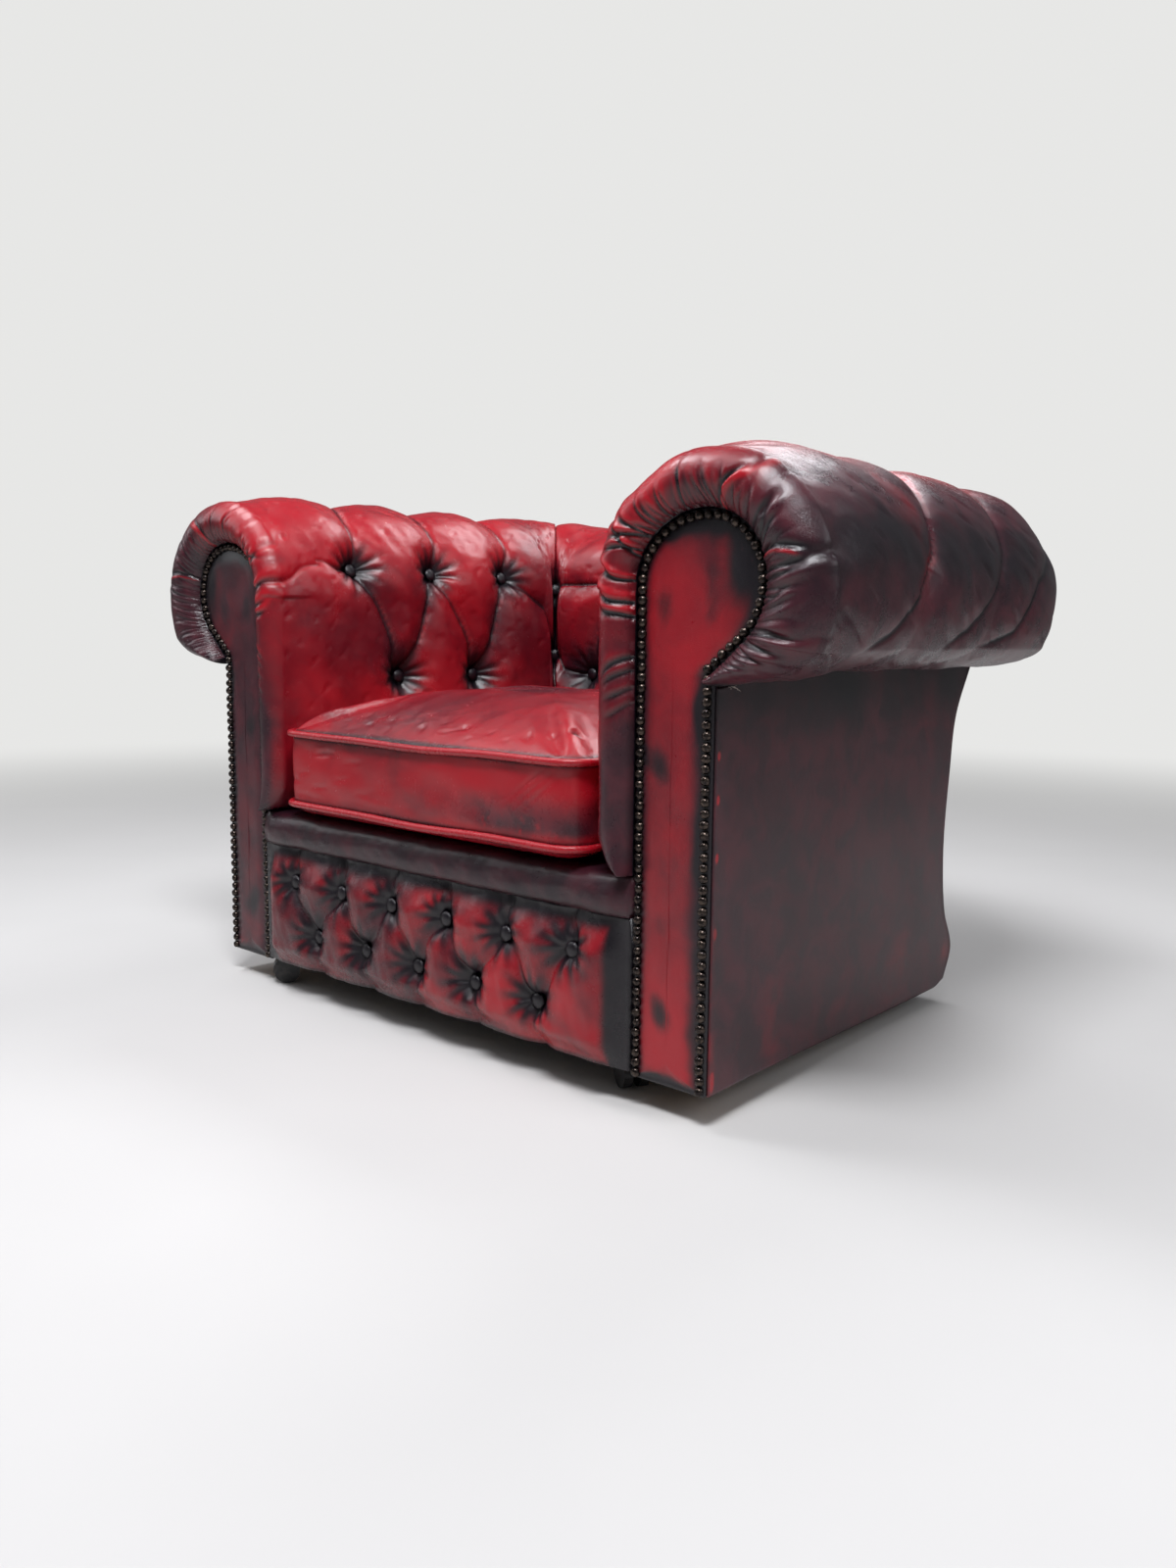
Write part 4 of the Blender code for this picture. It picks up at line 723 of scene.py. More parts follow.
def cover_rows(distances, folds, spots, side, seed, charted, found=(), pleated=False):
    """Rows of cover points along the roll with their marks. Charted gives the place of each
    row on the button chart, and pleated adds the pleats on the outside of the near roll."""
    places = COVER_PLACES
    a = charted[:, None] + 0.0 * EVEN_LENGTHS[None, :]
    b = EVEN_LENGTHS[None, :] + 0.0 * distances[:, None]
    broad, narrow = sink_at(a, b, folds)
    fade = ease((3.0 - places) / 0.22)[None, :]
    stars = gathers(a, b, spots, 11, 0.022, 0.0019, seed)
    soft = wobble(a, b, 8.0, seed + 3) * 0.0014 + wobble(a, b, 24.0, seed + 4) * 0.0005
    wrinkle = np.maximum(wobble(a, b, 34.0, seed + 5), 0.45) - 0.45
    pleat_sink, pleat_painted_shade, pleat_red = outside_pleats(a, b, pleated)
    sink = (broad * 1.04 + narrow * 0.0030 + stars + soft + wrinkle * 0.0016 + pleat_sink) * fade
    corner = ease(distances / 0.060)[:, None]
    flank = ease(places / 0.15) * ease((3.0 - places) / 0.30)
    sink = sink + (1.0 - corner) * flank[None, :] * np.where(places < 1.0, 0.0085, 0.0045)[None, :]
    grooves, groove_painted_shade, ridges = gathered(FRONT_FACE + a, b, found)
    sink = sink + grooves * fade
    offset, height = outer_profile(places)
    across, up = cover_normals(places)
    offset = offset[None, :] - sink * across[None, :]
    height = height[None, :] - sink * up[None, :]
    height = height + crease_rise(distances)[:, None] * np.maximum(places - 2.0, 0.0)[None, :]
    height = height - roll_settle(distances, places)
    x, y, z = roll_point(distances[:, None] + 0.0 * offset, offset, height, side)
    rim_x, rim_z = keyhole(RIM_PLACES, GAP)
    rim_x = np.repeat(rim_x[None, :], len(distances), 0)
    rim_z = np.repeat(rim_z[None, :], len(distances), 0)
    rim_z[:, 0] += crease_rise(distances)
    rx, ry, rz = roll_point(distances[:, None] + 0.0 * rim_x, rim_x, rim_z, side)
    rows = np.stack(
        [np.concatenate([x, rx], 1), np.concatenate([y, ry], 1), np.concatenate([z, rz], 1)], 2
    )
    # Painted shade: near-black in and round the dimples, along creases and grooves, under the roll by its
    # crease and at the foot by the seat
    shade = button_shade(a, b, spots, 0.046, seed)
    hollow = np.maximum(shade, narrow * 0.60)
    hollow = np.maximum(hollow, ease((broad - 0.0075) / 0.020) * 0.75)
    hollow = np.maximum(hollow, groove_painted_shade * 0.7)
    hollow = np.maximum(hollow, pleat_painted_shade)
    hollow = np.maximum(hollow, ease((places - 2.72) / 0.25)[None, :] * 0.85)
    hollow = np.maximum(hollow, (1.0 - ease(places / 0.10))[None, :] * 0.7)
    over = ease((places - 1.52) / 0.18)[None, :] * (0.92 + 0.08 * wobble(a, b, 5.0, seed + 8))
    band = np.exp(-(((places - 1.79) / 0.105) ** 2))[None, :]
    # Dark finish kept on the outer side of the roll, with painted shade round the creases and dimples
    aged = np.maximum(over * 0.80, ease((broad - 0.003) / 0.014) * 0.50)
    aged = np.maximum(aged, shade * 0.6) + 0.16 * (1.0 + wobble(a, b, 6.0, seed + 15))
    # Painted shade in a band across the outer side of the roll
    hollow = np.maximum(hollow, band * 0.74 * (0.85 + 0.15 * wobble(a, b, 9.0, seed + 12)))
    on_top = np.exp(-(((places - 1.30) / 0.30) ** 2))[None, :]
    low_red = np.exp(-(((places - 0.45) / 0.30) ** 2))[None, :]
    rubbed = 0.06 + 0.46 * on_top + 0.34 * low_red + ridges - 0.5 * over
    fold_side = np.exp(-(((narrow - 0.42) / 0.22) ** 2)) * (1.0 - ease(shade / 0.5)) * ease(narrow / 0.2)
    rubbed = rubbed + 0.25 * fold_side
    rubbed = rubbed + pleat_red * 0.8
    aged = np.clip(aged - pleat_red * 0.55 - ridges, 0.0, 1.0)
    hollow = hollow * (1.0 - pleat_red * 0.75)
    inside = np.ones((len(distances), len(RIM_PLACES)))
    marks = {
        "hollow": np.concatenate([hollow, inside], 1), "rubbed": np.concatenate([rubbed, 0 * inside], 1),
        "aged": np.concatenate([aged, inside], 1),
    }
    return rows, marks


def roll_end_rows(cover, cover_marks, rim, found, side, seed):
    """The gathered front of a roll, where the cover turns in to the nailed facing."""
    places, lengths = COVER_PLACES, EVEN_LENGTHS
    edge_x, edge_z = keyhole(places, EDGE_CLEAR)
    edge_y = np.full(len(places), FACING_Y - EDGE_PROUD)
    edge = np.stack([side * (ARM_CENTRE_FRONT + edge_x), edge_y, edge_z], 1)
    scroll = ease((places - 0.35) / 0.6) * ease((3.0 - places) / 0.30)
    centre = np.array([side * ARM_CENTRE_FRONT, 0.0, SCROLL_HEIGHT])
    rows = []
    marks = {"hollow": [], "rubbed": [], "aged": []}
    for index in range(END_STOPS):
        share = 1.0 - (1.0 - index / END_STOPS) ** 1.5
        point = edge + (cover - edge) * share**0.88
        bulge = END_BULGE * math.sin(math.pi * (0.012 + 0.988 * share) ** 0.92) ** 0.62
        depth, dark, ridges = gathered(share * FRONT_FACE, lengths, found)
        turn = share * math.pi / 2
        forward = bulge * (0.82 + 0.18 * scroll) * (1.0 if share > 0 else 0.3) - depth * math.cos(turn)
        moved = point.copy()
        moved[:, 1] -= np.maximum(forward, -0.001)
        away = point - centre
        away[:, 1] = 0.0
        size = np.maximum(np.linalg.norm(away, axis=1, keepdims=True), 1e-6)
        moved -= away / size * (depth * math.sin(turn) * (1.0 - share))[:, None]
        rim_row = rim.copy()
        rim_row[:, 1] = FACING_Y - EDGE_PROUD * (1.0 - share)
        rows.append(np.concatenate([moved, rim_row], 0))
        # Painted shade by the nailed edge and in the grooves of the gathers; lower down a little darker
        near_edge = max(0.0, 1.0 - share / 0.10) * 0.45
        outside = ease((places - 1.50) / 0.25)
        low = ease((0.62 - places) / 0.25)
        cloud = 0.5 + 0.5 * wobble(lengths, lengths * 0 + share * 0.1, 7.0, seed + 9)
        on_top = np.exp(-(((places - 1.22) / 0.28) ** 2))
        own = {
            "hollow": np.maximum(np.maximum(dark * 0.85, near_edge), low * 0.35 * cloud),
            "rubbed": 0.10 + ridges * 1.4 + 0.46 * on_top * share - outside * 0.5,
            "aged": outside * 0.80 + low * 0.70 + cloud * 0.30 + 0.25 * (1.0 - share) - ridges,
        }
        for key, values in own.items():
            marks[key].append(mix(np.clip(values, 0.0, 1.0), cover_marks[key], ease((share - 0.45) / 0.55)))
    extra = np.ones((END_STOPS, len(RIM_PLACES)))
    return np.array(rows), {
        "hollow": np.concatenate([np.array(marks["hollow"]), extra], 1),
        "rubbed": np.concatenate([np.array(marks["rubbed"]), 0 * extra], 1),
        "aged": np.concatenate([np.array(marks["aged"]), extra], 1),
    }


def edge_strip():
    """Narrow faces that close a cover's front between its nailed edge and the board's rim."""
    faces = []
    rim = len(RIM_PLACES) - 1
    for step in range(COVER_STEPS - 1):
        while rim > 0 and COVER_PLACES[step] > (RIM_PLACES[rim] + RIM_PLACES[rim - 1]) / 2:
            faces.append((step, COVER_STEPS + rim - 1, COVER_STEPS + rim))
            rim -= 1
        faces.append((step, step + 1, COVER_STEPS + rim))
    for left in range(rim, 0, -1):
        faces.append((COVER_STEPS - 1, COVER_STEPS + left - 1, COVER_STEPS + left))
    return faces


def cover_piece(name, node, rows, marks, narrow_edge=False):
    faces = ring_faces(rows.shape[0], rows.shape[1])
    if narrow_edge:
        faces[-2:-1] = edge_strip()
    piece = surface(
        name, rows.reshape(-1, 3), faces, LEATHER,
        {key: np.clip(values, 0.0, 1.0).ravel() for key, values in marks.items()},
    )
    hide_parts(node)
    return piece


LEATHER = antique_leather("antiqued_oxblood_leather")
LEATHER_FLAT = antique_leather("flat_panel_leather", polish=0.10, creased=0.12)
LEATHER_FACING = antique_leather("arm_front_leather", polish=0.04, creased=0.35)
LEATHER_PIPING = antique_leather("rubbed_piping_leather", polish=0.03, creased=0.25)
BRASS = old_brass("antique_nail_brass")
PLASTIC = moulded_plastic("castor_black_plastic")
STEEL = plain_steel("socket_plain_steel")
TIMBER = beech("frame_beech")
CLOTH = woven("black_dust_cloth", (0.012, 0.012, 0.012), (0.060, 0.058, 0.056), 420.0)
WEBBING = woven("jute_webbing", (0.200, 0.150, 0.090), (0.460, 0.360, 0.230), 160.0)


def dress_frame():
    """Finish the solids whose own shape is right: timbers, webbing, dust cover and castors."""
    finishes = (("castor_socket", STEEL), ("castor_", PLASTIC), ("seat_web", WEBBING), ("dust_cover", CLOTH))
    for name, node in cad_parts.items():
        material = next((finish for start, finish in finishes if name.startswith(start)), TIMBER)
        node.data.materials.clear()
        node.data.materials.append(material)


def arm_covers():
    upper, lower = arm_buttons()
    spots = [chart(button) for button in upper + lower]
    spots += [chart((MITRE_AT, CORNER_UPPER)), chart((MITRE_AT, CORNER_LOWER))]
    distances = np.concatenate([np.linspace(0.0, 0.095, 40), np.linspace(0.0985, MITRE_AT - GAP / 2, 133)])
    for label, side, seed in (("left", -1.0, 11), ("right", 1.0, 23)):
        found = end_gathers(seed, side)
        rows, marks = cover_rows(
            distances, arm_folds(side), spots, side, seed, distances, found, pleated=side > 0
        )
        cover, rim = rows[0, :COVER_STEPS], rows[0, COVER_STEPS:]
        first_marks = {key: np.clip(values[0, :COVER_STEPS], 0.0, 1.0) for key, values in marks.items()}
        end_rows, end_marks = roll_end_rows(cover, first_marks, rim, found, side, seed)
        rows = np.concatenate([end_rows, rows], 0)
        marks = {key: np.concatenate([end_marks[key], marks[key]], 0) for key in marks}
        cover_piece(f"tufted_arm_{label}", f"inner_arm_{label}", rows, marks, narrow_edge=True)


def back_cover():
    upper, lower = back_buttons()
    spots = [chart(button) for button in upper + lower]
    mitre = BACK_MIDDLE_AT - MITRE_AT
    spots += [chart((end * mitre, height)) for end in (-1, 1) for height in (CORNER_UPPER, CORNER_LOWER)]
    half = np.linspace(MITRE_AT + GAP / 2, BACK_MIDDLE_AT, 100)
    folds = back_folds()
    right, right_marks = cover_rows(half, folds, spots, 1.0, 31, BACK_MIDDLE_AT - half)
    other = half[:-1][::-1]
    left, left_marks = cover_rows(other, folds, spots, -1.0, 31, other - BACK_MIDDLE_AT)
    rows = np.concatenate([right, left], 0)
    marks = {key: np.concatenate([right_marks[key], left_marks[key]], 0) for key in right_marks}
    cover_piece("tufted_back", "inner_back", rows, marks)


def piping(name, path):
    """A welt round a closed path of points, a little uneven and worn along its length."""
    radius, sides, lumps = 0.0045, 10, 0.03
    ahead = np.roll(path, -1, 0) - np.roll(path, 1, 0)
    ahead /= np.linalg.norm(ahead, axis=1, keepdims=True)
    across = np.cross(ahead, np.tile([0.0, 0.0, 1.0], (len(path), 1)))
    across /= np.linalg.norm(across, axis=1, keepdims=True)
    up = np.cross(across, ahead)
    step = np.arange(len(path))
    size = radius * (1.0 + lumps * np.sin(step * 0.9) * np.sin(step * 0.37))
    rows = []
    for index in range(sides):
        angle = 2 * math.pi * index / sides
        rows.append(path + (across * math.cos(angle) + up * math.sin(angle)) * size[:, None])
    points = np.stack(rows, 1)
    faces = ring_faces(len(path), sides, caps=False)
    low = (len(path) - 1) * sides
    for index in range(sides):
        after = (index + 1) % sides
        faces.append((low + index, low + after, after, index))
    worn = 0.7 + 0.3 * np.sin(step * 0.13) * np.sin(step * 0.05 + 1.0)
    none = np.zeros(points.shape[:2])
    marks = {"hollow": none, "rubbed": np.repeat(worn[:, None], sides, 1) * 0.6 + 0.3, "aged": none}
    piece = surface(name, points.reshape(-1, 3), faces, LEATHER_PIPING, marks)


PANEL_THICK = 0.0060
PANEL_SHIFT = 0.0131
PANEL_FRONT = FACING_Y + 0.0068
SIDE_BOTTOM_FRONT, SIDE_BOTTOM_REAR = 0.0335, 0.0240
CREASE_CLEAR = 0.0015
CORNER_LIFT = 0.007
REAR_HEIGHTS = (0.024, 0.062, 0.120, 0.200, 0.320, 0.400, 0.465)
REAR_DEPTHS = (0.590, 0.610, 0.585, 0.5715, 0.580, 0.594, 0.634)
UNDER_ROLL = FINE_PLACES >= 2.0


def rear_y(height):
    """Y of the outside back at a height, on a smooth curve through the profile's points."""
    heights, depths = np.array(REAR_HEIGHTS), np.array(REAR_DEPTHS)
    height = np.clip(height, heights[0], heights[-1])
    index = np.clip(np.searchsorted(heights, height) - 1, 0, len(heights) - 2)
    slopes = np.gradient(depths, heights)
    span = heights[index + 1] - heights[index]
    share = (height - heights[index]) / span
    s2, s3 = share**2, share**3
    value = (2 * s3 - 3 * s2 + 1) * depths[index] + (s3 - 2 * s2 + share) * slopes[index] * span
    value = value + (3 * s2 - 2 * s3) * depths[index + 1] + (s3 - s2) * slopes[index + 1] * span
    return FACING_Y + value


def arm_x(y, offset):
    return ARM_CENTRE_FRONT - ARM_TAPER * (y - FACING_Y) + offset


def underside_height(x, y):
    """Height of the roll's underside over plan points outside the crease."""
    x = np.abs(x)
    around = np.hypot(x - BEND_X, y - BEND_Y) - CORNER_BEND
    beside = (x - arm_x(y, 0.0)) * math.cos(STRAIGHT_ANGLE)
    behind = y - BEND_Y - CORNER_BEND
    offset = np.where((y > BEND_Y) & (x > BEND_X), around, np.where(x > BEND_X, beside, behind))
    place = np.interp(offset, FINE_X[UNDER_ROLL][::-1], FINE_PLACES[UNDER_ROLL][::-1])
    height = np.interp(place, FINE_PLACES, FINE_Z) + CREASE_RISE * (place - 2.0)
    return np.where(offset <= CREASE_OFFSET, CREASE_HEIGHT + crease_rise(y - FACING_Y), height)


def outside_panels():
    """Plain leather panels on the outside of both arms."""
    shares = np.linspace(0.0, 1.0, 150)
    heights = mix(SIDE_BOTTOM_REAR, REAR_HEIGHTS[-1], shares)
    across = np.linspace(0.0, 1.0, 90) ** 1.5
    turn = np.linspace(0.0, math.pi / 2, 7)[1:]
    round_edge = 0.0050
    for label, side, seed in (("left", -1.0, 91), ("right", 1.0, 94)):
        rear = rear_y(heights)[:, None]
        y = mix(PANEL_FRONT, rear - round_edge, across[None, :])
        y = np.concatenate([y, rear - round_edge + round_edge * np.sin(turn)[None, :], 0 * rear + rear], 1)
        y = np.concatenate([y, np.full_like(rear, PANEL_FRONT)], 1)
        inset = np.concatenate([0 * across, round_edge * (1 - np.cos(turn)), [PANEL_THICK, PANEL_THICK]])
        low = mix(SIDE_BOTTOM_FRONT, SIDE_BOTTOM_REAR, ease((y - FACING_Y) / REAR_DEPTHS[0]))
        low = low + CORNER_LIFT * ease((y - FACING_Y - 0.555) / 0.035)
        x = arm_x(y, PANEL_SHIFT - inset[None, :])
        z = mix(low, underside_height(x, y) - CREASE_CLEAR, shares[:, None])
        flat = (inset < 0.0001)[None, :] * ease((y - PANEL_FRONT) / 0.03) * ease((z - low) / 0.03)
        x = x + flat * (wobble(y, z, 4.0, seed) * 0.0008 - 0.0004)
        edge = np.exp(-(((y - PANEL_FRONT) / 0.010) ** 2))
        streak = np.clip(wobble(y, z * 0.22, 8.0, seed + 1) - 0.10, 0.0, 1.0)
        spot = np.exp(-((y - rear_y(0.075) + 0.022) / 0.016) ** 2 - ((z - 0.072) / 0.022) ** 2)
        scuffs = 0.0 * y
        if side > 0:
            for height in (0.381, 0.337, 0.279, 0.202, 0.052, 0.044):
                off = (y - PANEL_FRONT - 0.005) / 0.0026
                scuffs += np.exp(-off**2 - ((z - height) / 0.0045) ** 2)
        # Painted shade: darker towards the top, under the overhang of the roll
        under = ease((z - 0.360) / 0.090)
        dim = wobble(y, z, 5.0, seed + 2)
        marks = {
            "hollow": 0.14 + 0.40 * under + 0.22 * np.clip(dim, 0.0, 1.0) - streak * 0.2,
            "rubbed": streak * 0.10 + edge * 0.30 * ease((0.30 - z) / 0.1) + spot * 0.22 + scuffs,
            "aged": 0.92 - streak * 0.20 - edge * 0.25 * ease((0.30 - z) / 0.1) - spot * 0.42 - scuffs,
        }
        points = np.stack([side * x, y, z], 2)
        piece = surface(
            f"outside_panel_{label}", points.reshape(-1, 3),
            ring_faces(len(shares), points.shape[1]), LEATHER_FLAT,
            {key: np.clip(values, 0.0, 1.0).ravel() for key, values in marks.items()},
        )
        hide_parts(f"outside_arm_{label}")


def outside_back_panel():
    """Plain leather panel across the outside of the back."""
    shares = np.linspace(0.0, 1.0, 90)[:, None]
    heights = mix(SIDE_BOTTOM_REAR, REAR_HEIGHTS[-1], shares)
    rear = rear_y(heights)
    half = arm_x(rear, PANEL_SHIFT - PANEL_THICK) - GAP
    across = np.linspace(-1.0, 1.0, 140)[None, :]
    x = half * across
    z = mix(SIDE_BOTTOM_REAR + CORNER_LIFT, underside_height(half, rear) - CREASE_CLEAR, shares) + 0 * x
    middle = ease((1.0 - np.abs(across)) / 0.08) * ease(shares / 0.06)
    y = rear + middle * (wobble(x, z, 4.0, 97) * 0.0008 - 0.0004)
    streak = np.clip(wobble(x, z * 0.22, 8.0, 98) - 0.10, 0.0, 1.0)
    # Painted shade: darker towards the top, under the overhang of the roll
    marks = {
        "hollow": 0.16 + 0.40 * ease((z - 0.360) / 0.090) + 0.2 * np.clip(wobble(x, z, 5.0, 99), 0.0, 1.0),
        "rubbed": streak * 0.10, "aged": 0.92 - streak * 0.20,
    }
    rows = np.stack([x, y, z], 2)
    inner = np.stack([
        np.concatenate([half, -half], 1), np.concatenate([rear, rear], 1) - PANEL_THICK,
        np.concatenate([z[:, :1], z[:, :1]], 1),
    ], 2)
    rows = np.concatenate([rows, inner], 1)
    marks = {key: np.clip(np.concatenate([values, np.full((90, 2), 0.5)], 1), 0.0, 1.0).ravel()
             for key, values in marks.items()}
    piece = surface(
        "outside_back_leather", rows.reshape(-1, 3), ring_faces(90, rows.shape[1]), LEATHER_FLAT, marks
    )
    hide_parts("outside_back")


def torn_seam():
    """A few pale threads where the seam under the near roll has come open."""
    material = plain_thread("pale_thread")
    rng = np.random.default_rng(17)
    points, faces = [], []
    for start in (0.024, 0.028, 0.031, 0.034):
        x = arm_x(FACING_Y + start, PANEL_SHIFT) + 0.0008
        line = [np.array([x, FACING_Y + start, CREASE_HEIGHT - 0.001])]
        way = np.array([0.35, rng.uniform(0.5, 1.0), rng.uniform(-0.3, 0.9)])
        for _ in range(9):
            way = way + rng.uniform(-0.6, 0.6, 3) * (0.5, 1.0, 1.0)
            way[0] = abs(way[0])
            line.append(line[-1] + way / np.linalg.norm(way) * 0.0013)
        line = np.array(line)
        base = sum(len(part) for part in points)
        for angle in range(4):
            off = np.array([math.cos(angle * math.pi / 2), 0.0, math.sin(angle * math.pi / 2)]) * 0.00025
            points.append(line + off)
        for side in range(4):
            after = (side + 1) % 4
            for step in range(9):
                faces.append((base + side * 10 + step, base + after * 10 + step,
                              base + after * 10 + step + 1, base + side * 10 + step + 1))
    piece = surface("loose_threads", np.concatenate(points, 0), faces, material)


CUSHION_POINTS, PIPING_POINTS = 168, 420
CUSHION_HALF_FRONT = 0.2740
CUSHION_HALF_REAR = 0.2540
CUSHION_FRONT = FACING_Y - 0.0285
CUSHION_REAR = FACING_Y + 0.4620
SEAM_LOW, SEAM_HIGH, CUSHION_TOP = 0.2680, 0.3620, 0.4200


def cushion_plan(grow, radius=0.034):
    """Outline of the loose cushion, moved outwards by grow."""
    front, rear = CUSHION_FRONT + 0.0075, CUSHION_REAR - 0.0075
    plan = []
    for x, y, start in (
        (-CUSHION_HALF_FRONT, front, 180.0), (CUSHION_HALF_FRONT, front, 270.0),
        (CUSHION_HALF_REAR, rear, 0.0), (-CUSHION_HALF_REAR, rear, 90.0),
    ):
        centre_x = x - math.copysign(radius + 0.0075, x)
        centre_y = y + (radius if y == front else -radius)
        for step in range(9):
            angle = math.radians(start + 90.0 * step / 8)
            plan.append((
                centre_x + (radius + grow) * math.cos(angle), centre_y + (radius + grow) * math.sin(angle)
            ))
    even = []
    for here, after in zip(plan, plan[1:] + plan[:1]):
        pieces = max(1, round(math.dist(here, after) / 0.012))
        even += [
            (mix(here[0], after[0], step / pieces), mix(here[1], after[1], step / pieces))
            for step in range(pieces)
        ]
    return even


def loose_cushion():
    """Box cushion, swollen by a short cloth simulation between its two held seams."""
    levels = [
        (-0.150, PAD_BOTTOM + 0.0010), (-0.060, PAD_BOTTOM + 0.0010), (-0.018, PAD_BOTTOM + 0.005),
        (-0.002, SEAM_LOW - 0.004), (-0.001, SEAM_LOW), (-0.002, SEAM_LOW + 0.006),
        (-0.001, mix(SEAM_LOW, SEAM_HIGH, 0.5)), (-0.002, SEAM_HIGH - 0.006), (-0.001, SEAM_HIGH),
    ]
    for inset in (0.004, 0.011, 0.020, 0.030, 0.043, 0.060, 0.085, 0.115, 0.150, 0.190, 0.230):
        crown = 0.86 * (1.0 - math.exp(-inset / 0.045))
        levels.append((-inset, mix(SEAM_HIGH, CUSHION_TOP, crown)))
    middle = np.array([0.0, (CUSHION_FRONT + CUSHION_REAR) / 2])
    rows = []
    for grow, height in levels:
        held = max(grow, -0.026)
        plan = np.array(cushion_plan(held))
        if grow < held:
            plan = middle + (plan - middle) * (1.0 + (grow - held) / CUSHION_HALF_REAR)
        rows.append(np.column_stack([plan, np.full(len(plan), height)]))
    points = np.concatenate([resample(row, CUSHION_POINTS) for row in rows], 0)
    piece = surface("loose_seat_cushion", points, ring_faces(len(rows), CUSHION_POINTS), LEATHER)
    bpy.ops.object.select_all(action="DESELECT")
    piece.select_set(True)
    bpy.context.view_layer.objects.active = piece
    remesh = piece.modifiers.new("even_quads", "REMESH")
    remesh.mode = "VOXEL"
    remesh.voxel_size = 0.006
    bpy.ops.object.modifier_apply(modifier="even_quads")
    mesh = piece.data
    rest = np.zeros(len(mesh.vertices) * 3)
    mesh.vertices.foreach_get("co", rest)
    rest = rest.reshape(-1, 3)
    swell(piece, rest)
    divide = piece.modifiers.new("finer", "SUBSURF")
    divide.levels = divide.render_levels = 1
    bpy.ops.object.modifier_apply(modifier="finer")
    shape_cushion(piece)
    mesh.shade_smooth()
    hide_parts("seat_cushion")
    for label, height in (("top", SEAM_HIGH), ("bottom", SEAM_LOW)):
        plan = np.array(cushion_plan(0.0015))
        plan = resample(np.column_stack([plan, np.full(len(plan), height)]), PIPING_POINTS)
        step = np.arange(len(plan))
        plan[:, 2] += 0.0012 * np.sin(step * 0.075) + 0.0005 * np.sin(step * 0.15 + 1.0)
        piping(f"cushion_piping_{label}", plan)


def resample(points, count):
    """The same closed outline with evenly spaced points."""
    closed = np.concatenate([points, points[:1]], 0)
    lengths = np.concatenate([[0.0], np.cumsum(np.linalg.norm(np.diff(closed, axis=0), axis=1))])
    at = np.linspace(0.0, lengths[-1], count + 1)[:-1]
    return np.stack([np.interp(at, lengths, closed[:, axis]) for axis in range(closed.shape[1])], 1)


def swell(piece, rest):
    """Blow the cushion up a little with cloth pressure, its seams held, and keep the result."""
    held = piece.vertex_groups.new(name="held_seams")
    near = (np.abs(rest[:, 2] - SEAM_LOW) < 0.004) | (np.abs(rest[:, 2] - SEAM_HIGH) < 0.004)
    near |= rest[:, 2] < PAD_BOTTOM + 0.004
    held.add(np.nonzero(near)[0].tolist(), 1.0, "REPLACE")
    cloth = piece.modifiers.new("cover", "CLOTH")
    cloth.settings.quality = 5
    cloth.settings.mass = 0.4
    cloth.settings.tension_stiffness = 18.0
    cloth.settings.compression_stiffness = 18.0
    cloth.settings.bending_stiffness = 1.5
    cloth.settings.use_pressure = True
    cloth.settings.uniform_pressure_force = 4.0
    cloth.settings.vertex_group_mass = "held_seams"
    cloth.settings.effector_weights.gravity = 0.0
    cloth.collision_settings.use_collision = False
    scene = bpy.context.scene
    for step in range(1, 21):
        scene.frame_set(step)
    bpy.ops.object.modifier_apply(modifier="cover")
    scene.frame_set(1)
    moved = np.zeros(len(piece.data.vertices) * 3)
    piece.data.vertices.foreach_get("co", moved)
    moved = moved.reshape(-1, 3)
    shift = moved - rest
    far = np.linalg.norm(shift, axis=1, keepdims=True)
    shift *= np.minimum(1.0, 0.012 / np.maximum(far, 1e-9))
    piece.data.vertices.foreach_set("co", (rest + shift).ravel())


